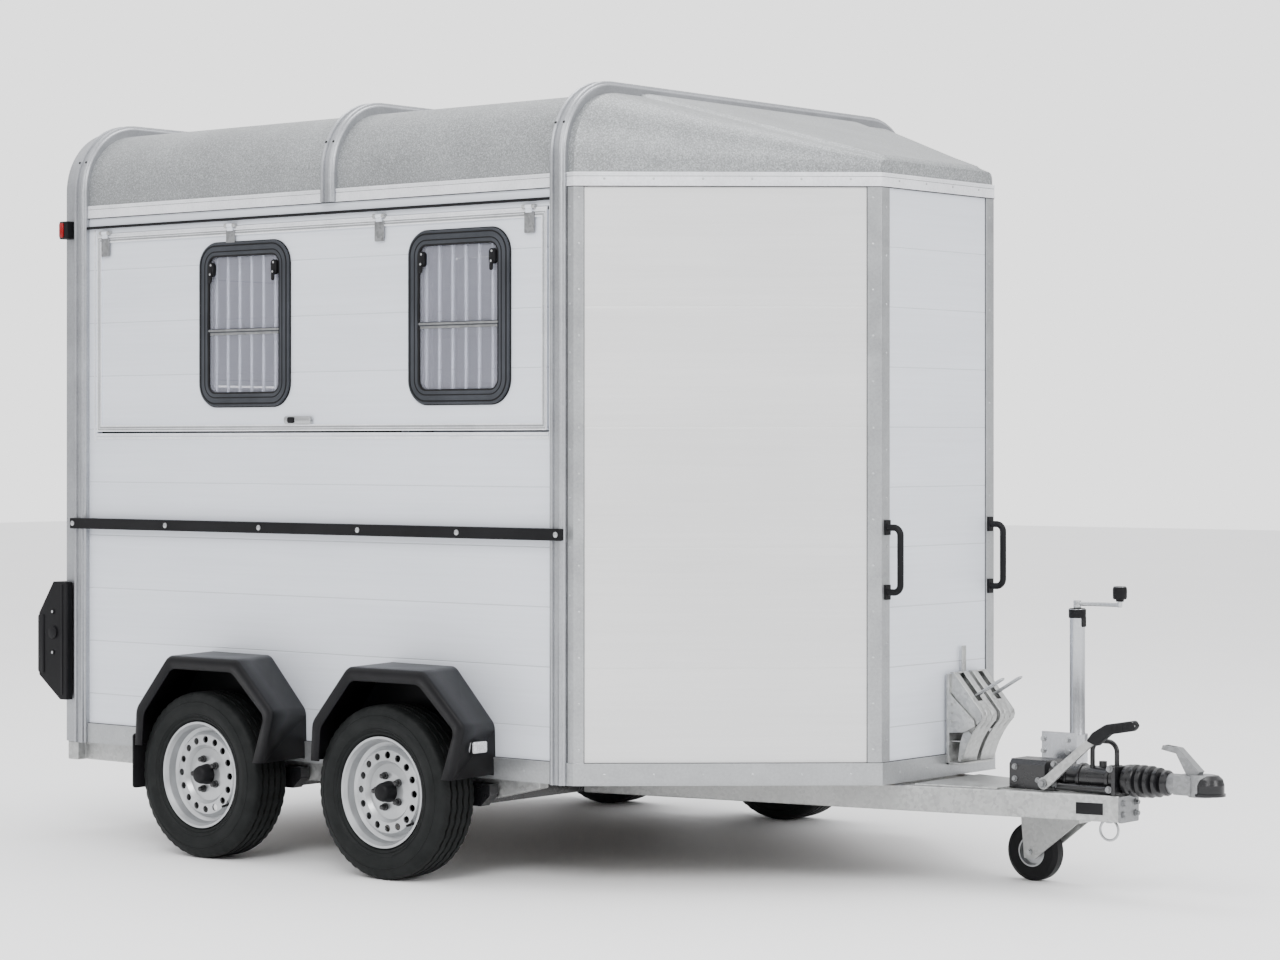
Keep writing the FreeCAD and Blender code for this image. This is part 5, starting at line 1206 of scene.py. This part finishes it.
class TRAILER_OT_chocks(bpy.types.Operator):
    """Folded wheel chocks with their bails, in the holder on the front panel."""
    bl_idname = "trailer.chocks"
    bl_label = "Wheel chocks"

    def execute(self, context):
        nose, back, curve = NOSE_X, CHOCK_BACK, chock_curve()
        cheek = [(back + 0.006, 0.702)] + from_nose(
            (0.033, 0.702), (0.145, 0.573), (0.146, 0.549), (0.120, 0.528)) + [(back + 0.006, 0.640)]
        foot = from_nose((0.050, 0.404), (0.062, 0.404)) + [curve[5], curve[3]] + from_nose(
            (0.080, 0.520), (0.060, 0.470))
        for index, y0 in enumerate((0.045, 0.157)):
            shell = piece(
                "chock_shell_%d" % index, chock_shell(y0, curve), "zinc", "galvanised", keep_normals=True, crease=50)
            sheet(shell, "Sheet", 0.003)
            if index == 0:
                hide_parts("chocks")
            y1 = y0 + CHOCK_W
            fit("chock_cheeks_%d" % index, "zinc", [
                *[(slab, outline, "XZ", y, y + 0.003) for y in (y0 + 0.001, y1 - 0.004) for outline in (cheek, foot)],
                *[(block, (back + 0.006, y0 + 0.006, z), (nose + x, y1 - 0.006, z + 0.003))
                  for x, z in ((0.060, 0.470), (0.080, 0.520))]], "galvanised")
            middle = (y0 + y1) / 2
            bail = [(nose + x, middle + y, z) for x, y, z in (
                (0.098, -0.012, 0.628), (0.203, -0.012, 0.690), (0.203, 0.012, 0.690), (0.098, 0.012, 0.628))]
            fit("chock_bail_%d" % index, "bright", [(pipe, rounded_route(bail, 0.010), 0.0032, 10)], "galvanised")
        arm = [(back, 0.640), (back, 0.500)] + from_nose((0.080, 0.505), (0.125, 0.528), (0.120, 0.548))
        fit("chock_holder", "zinc", [
            (block, (nose + 0.010, 0.036, 0.392), (back + 0.0055, 0.253, 0.700)),
            (block, (nose + 0.010, 0.036, 0.392), (nose + 0.062, 0.253, 0.400)),
            (block, (nose + 0.010, 0.128, 0.395), (nose + 0.016, 0.150, 0.792)),
            (slab, arm, "XZ", 0.0365, 0.0405), (slab, arm, "XZ", 0.2485, 0.2525), (soften, 0.0012),
            *[(hexagon, RIGHT, (nose + 0.030, 0.0365, z), 0.005, 0.006) for z in (0.600, 0.570, 0.540)]],
            "galvanised")
        return {"FINISHED"}


class TRAILER_OT_rear_fittings(bpy.types.Operator):
    """Frame profiles, latches, handle, mat and the blank number plate of the ramp and the top flap."""
    bl_idname = "trailer.rear_fittings"
    bl_label = "Rear fittings"

    def execute(self, context):
        low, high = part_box("ramp")
        face, inside, half = low[0], high[0], -low[1]

        def plate(y, wide, z0, z1, r, steps, out, foot):
            """A row for a plate on the rear, between two distances out from it."""
            return tile, "YZ", y - wide, y + wide, z0, z1, r, steps, face - out, face - foot

        for name, body, z0, z1, r in (
                ("ramp_frame", "ramp", 0.424, 1.710, 0.004), ("top_flap_frame", "top_flap", 1.720, 2.546, 0.10)):
            def outline(inset):
                return arc_rect(inset - half, half - inset, z0 + inset, z1 - inset, max(r - inset, 0.002), 8)
            fit(name, "trim", [
                (band, outline(0.0), outline(0.034), "YZ", face - 0.006, face + 0.0005),
                (band, outline(0.050), outline(0.058), "YZ", face - 0.0035, face + 0.0005),
                (soften, 0.0016)], body=body)
        fit("ramp_ribs", "white_trim", [
            *[(block, (face - 0.0022, 0.062 - half, z), (face + 0.0005, half - 0.062, z + 0.010))
              for z in (0.62, 0.82, 1.02, 1.22, 1.42)], (soften, 0.0008, 1)], body="ramp")
        latches, keepers = [], []
        for y in (-0.80, 0.80):
            latches += [
                plate(y, 0.022, 1.52, 1.66, 0.008, 4, 0.012, 0.0055),
                plate(y, 0.013, 1.46, 1.60, 0.012, 6, 0.026, 0.018),
                (block, (face - 0.020, y - 0.009, 1.57), (face - 0.010, y + 0.009, 1.60))]
            keepers += [
                plate(y, 0.016, 1.728, 1.772, 0.006, 4, 0.018, 0.0055),
                plate(y, 0.020, 1.86, 1.98, 0.010, 5, 0.012, 0.0055)]
        fit("ramp_latches", "bright", latches + [(soften, 0.002)], body="ramp")
        fit("top_flap_keepers", "bright", keepers + [(soften, 0.002)], body="top_flap")
        fit("ramp_mat", "rubber", [
            (tile, "YZ", -0.845, 0.845, 0.475, 1.665, 0.010, 4, inside - 0.0005, inside + 0.0035),
            *[(block, (inside + 0.003, -0.80, z), (inside + 0.0055, 0.80, z + 0.022))
              for z in [0.545 + 0.150 * k for k in range(8)]],
            (soften, 0.0008, 1)], "soft_black", "ramp")
        route = [(face - x, y, 1.60) for x, y in ((0.004, -0.11), (0.044, -0.11), (0.044, 0.11), (0.004, 0.11))]
        fit("ramp_handle", "black_plastic", [
            (pipe, rounded_route(route, 0.018), 0.010, 14),
            *[plate(y, 0.020, 1.575, 1.625, 0.008, 4, 0.009, 0.0002) for y in (-0.11, 0.11)]],
            "black_plastic", "ramp")
        fit("number_plate_back", "black_plastic", [
            plate(0, 0.270, 0.520, 0.650, 0.010, 5, 0.010, 0.0005), (soften, 0.002)], "black_plastic", "ramp")
        fit("number_plate_blank", "white_trim", [
            plate(0, 0.260, 0.530, 0.640, 0.006, 5, 0.0118, 0.0098)], body="ramp")
        fit("plate_lamps", "black_plastic", [
            *[plate(y, 0.030, 0.652, 0.684, 0.008, 4, 0.034, 0.0005) for y in (-0.18, 0.18)],
            (soften, 0.004, 3)], "black_plastic", "ramp")
        return {"FINISHED"}


STRIP_REAR = at(-1.335) + 0.067


def plan_ring(bm, inner, outer, z0, z1):
    """A strip round the sides and the nose, between two distances out from the walls."""
    def side(out):
        return [
            (STRIP_REAR, -WALL_Y - out),
            (CORNER_X + out * math.tan(SLANT / 2), -WALL_Y - out),
            (NOSE_X + out, -NOSE_HALF - out * math.cos(SLANT) / (1 + math.sin(SLANT))),
        ]
    right, back = side(outer), side(inner)
    outline = right + [(x, -y) for x, y in reversed(right)] + [(x, -y) for x, y in back] + back[::-1]
    slab(bm, outline, "XY", z0, z1)


class TRAILER_OT_strip_lines(bpy.types.Operator):
    """Lips along the roof trim and the sill, painted shade under the roof trim, and dark lines beside the corner
    strips that are partly sealant joints and partly painted shade.
    """
    bl_idname = "trailer.strip_lines"
    bl_label = "Strip lines"

    def execute(self, context):
        fit("trim_lips", "white_trim", [
            (plan_ring, 0.0068, 0.0090, 2.3385, 2.3425), (plan_ring, 0.0068, 0.0084, 2.3785, 2.3835)])
        fit("sill_lips", "trim", [
            (plan_ring, 0.0098, 0.0114, 0.4205, 0.4255), (plan_ring, 0.0098, 0.0114, 0.3525, 0.3565)])
        # Dark lines: the band just under the roof trim is painted shade, a thin line runs along the trim's middle,
        # and another lies in the corner over the sill.
        rows = [
            (plan_ring, -0.0010, 0.0066, 2.3358, 2.3382), (plan_ring, 0.0060, 0.0074, 2.3700, 2.3712),
            (plan_ring, -0.0010, 0.0060, 0.4258, 0.4276)]
        # The slabs beside the corner strips are partly sealant joints and partly painted shade in the gaps.
        for foot, run, away, width in (
                (CORNER, ALONG, OUT, 0.0320), (NOSE, -ALONG, OUT, 0.0450),
                (NOSE, Vector(LEFT), Vector(FORWARD), 0.0450)):
            ends = [foot + run * width - away * 0.001, foot + run * (width + 0.0022) - away * 0.001]
            corners = ends + [ends[1] + away * 0.0022, ends[0] + away * 0.0022]
            rows.append((slab, [(p.x, p.y) for p in corners], "XY", 0.428, 2.336))
        x = at(1.124)
        rows += [
            (block, (x - 0.001, -WALL_Y - 0.0072, 0.428), (x + 0.0024, -WALL_Y, 2.336)), (face_out,), (both_sides,)]
        fit("dark_joints", "shadow", rows, "black_plastic", keep_normals=True)
        return {"FINISHED"}


class TRAILER_OT_cap_field(bpy.types.Operator):
    """The raised middle of the roof cap, which narrows towards the front."""
    bl_idname = "trailer.cap_field"
    bl_label = "Roof cap field"

    def execute(self, context):
        cap = bmesh.new()
        cap.from_mesh(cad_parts["roof_cap"].data)
        bmesh.ops.remove_doubles(cap, verts=cap.verts[:], dist=1e-5)
        surface = BVHTree.FromBMesh(cap)
        cap.free()
        x0, x1 = at(1.1245), at(1.9185)
        bm = bmesh.new()
        bmesh.ops.create_grid(bm, x_segments=72, y_segments=96, size=1.0)
        for v in bm.verts:
            u = (v.co.x + 1) / 2
            half = 0.640 + (0.300 - 0.640) * u
            x, y = x0 + (x1 - x0) * u, v.co.y * half
            hit = surface.ray_cast(Vector((x, y, 3.0)), Vector((0, 0, -1)))[0]
            inside = min(max((half - abs(y)) / 0.030, 0.0), 1.0)
            front = min((1 - u) * (x1 - x0) / 0.020, 1.0)
            rise = inside * inside * (3 - 2 * inside) * front
            v.co = Vector((x, y, (hit.z if hit else 2.44) - 0.0015 + 0.0135 * rise))
        skirt = grow(bm, [e for e in bm.edges if e.is_boundary])[1]
        bmesh.ops.translate(bm, vec=(0, 0, -0.004), verts=skirt)
        face_out(bm)
        if max(bm.faces, key=lambda f: f.calc_center_median().z).normal.z < 0:
            turn_round(bm)
        piece("cap_field", bm, "roof", "roof", keep_normals=True, crease=60)
        return {"FINISHED"}


def stand(name, data, place, way):
    """Puts a lamp or the camera in its place, looking along a direction."""
    holder = bpy.data.objects.new(name, data)
    holder.location = place
    holder.rotation_euler = Vector(way).to_track_quat("-Z", "Y").to_euler()
    bpy.context.scene.collection.objects.link(holder)
    return holder


class TRAILER_OT_stage(bpy.types.Operator):
    """Floor, lights and camera."""
    bl_idname = "trailer.stage"
    bl_label = "Stage"

    def execute(self, context):
        bm = bmesh.new()
        bmesh.ops.create_grid(bm, x_segments=1, y_segments=1, size=40)
        mesh = bpy.data.meshes.new("studio_floor")
        bm.to_mesh(mesh)
        bm.free()
        ground = bpy.data.objects.new("studio_floor", mesh)
        mesh.materials.append(stage_floor("Studio floor"))
        context.scene.collection.objects.link(ground)
        world = bpy.data.worlds.new("Studio")
        context.scene.world = world
        world.use_nodes = True
        tree = world.node_tree
        way = node(tree, "TexCoord", {}).outputs["Generated"]
        height = node(tree, "SeparateXYZ", {0: way}).outputs["Z"]
        stops = ((0.0, 0.30), (0.08, 0.34), (0.30, 0.75), (0.62, 1.0), (1.0, 1.0))
        sky = colour_ramp(tree, height, [(place, (tone, tone, tone * 1.01)) for place, tone in stops])
        soft = tree.nodes["Background"]
        feed(tree, soft.inputs["Color"], sky)
        feed(tree, soft.inputs["Strength"], 1.95)
        # The camera sees a plain white behind the trailer, and the trailer mirrors the sky
        seen = node(tree, "Background", {"Color": (1, 1, 1), "Strength": 2.15})
        ray = node(tree, "LightPath", {}).outputs["Is Camera Ray"]
        choice = node(tree, "MixShader", {0: ray, 1: soft.outputs[0], 2: seen.outputs[0]})
        feed(tree, tree.nodes["World Output"].inputs["Surface"], choice.outputs[0])
        for name, place, aim, size, power in (
                ("Key light", (4.5, -9.0, 8.0), (0, -0.5, 1.2), 5.0, 800),
                ("Nose light", (11.0, -1.0, 5.0), (1.0, 0, 1.2), 4.0, 380),
                ("Roof light", (-1.0, 1.0, 9.5), (0, 0, 2.0), 6.0, 460)):
            lamp = bpy.data.lights.new(name, "AREA")
            lamp.shape = "DISK"
            lamp.size = size
            lamp.energy = power
            stand(name, lamp, place, Vector(aim) - Vector(place))
        lens = bpy.data.cameras.new("Photo camera")
        lens.sensor_width = 36
        lens.lens = 89.178
        lens.shift_y = -0.02822
        context.scene.camera = stand("Photo camera", lens, (at(7.976), -8.974, 1.48396), (-0.63438, 0.77302, 0))
        return {"FINISHED"}


class TRAILER_PT_panel(bpy.types.Panel):
    """Lists the trailer's operators."""
    bl_idname = "TRAILER_PT_panel"
    bl_label = "Horse Trailer"
    bl_space_type = "VIEW_3D"
    bl_region_type = "UI"
    bl_category = "Horse Trailer"

    def draw(self, context):
        for item in STEPS:
            self.layout.operator(item.bl_idname)
        for group in (context.scene.trailer_sizes, context.scene.trailer_finishes):
            for name in group.bl_rna.properties.keys():
                if name not in ("rna_type", "name"):
                    self.layout.prop(group, name)


STEPS = (
    TRAILER_OT_stage,
    TRAILER_OT_surfaces,
    TRAILER_OT_tyres,
    TRAILER_OT_wheel_fittings,
    TRAILER_OT_mudguards,
    TRAILER_OT_rivets,
    TRAILER_OT_hoop_beads,
    TRAILER_OT_rub_rails,
    TRAILER_OT_flap_trims,
    TRAILER_OT_window_fittings,
    TRAILER_OT_lamps,
    TRAILER_OT_drawbar_fittings,
    TRAILER_OT_chocks,
    TRAILER_OT_rear_fittings,
    TRAILER_OT_strip_lines,
    TRAILER_OT_cap_field,
)
CLASSES = (TrailerSizes, TrailerFinishes) + STEPS + (TRAILER_PT_panel,)


def register():
    for item in CLASSES:
        bpy.utils.register_class(item)
    bpy.types.Scene.trailer_sizes = bpy.props.PointerProperty(type=TrailerSizes)
    bpy.types.Scene.trailer_finishes = bpy.props.PointerProperty(type=TrailerFinishes)


def unregister():
    del bpy.types.Scene.trailer_finishes
    del bpy.types.Scene.trailer_sizes
    for item in reversed(CLASSES):
        bpy.utils.unregister_class(item)


def main():
    register()
    for item in STEPS:
        group, name = item.bl_idname.split(".")
        getattr(getattr(bpy.ops, group), name)()
    bpy.context.view_layer.update()


if __name__ == "__main__":
    main()
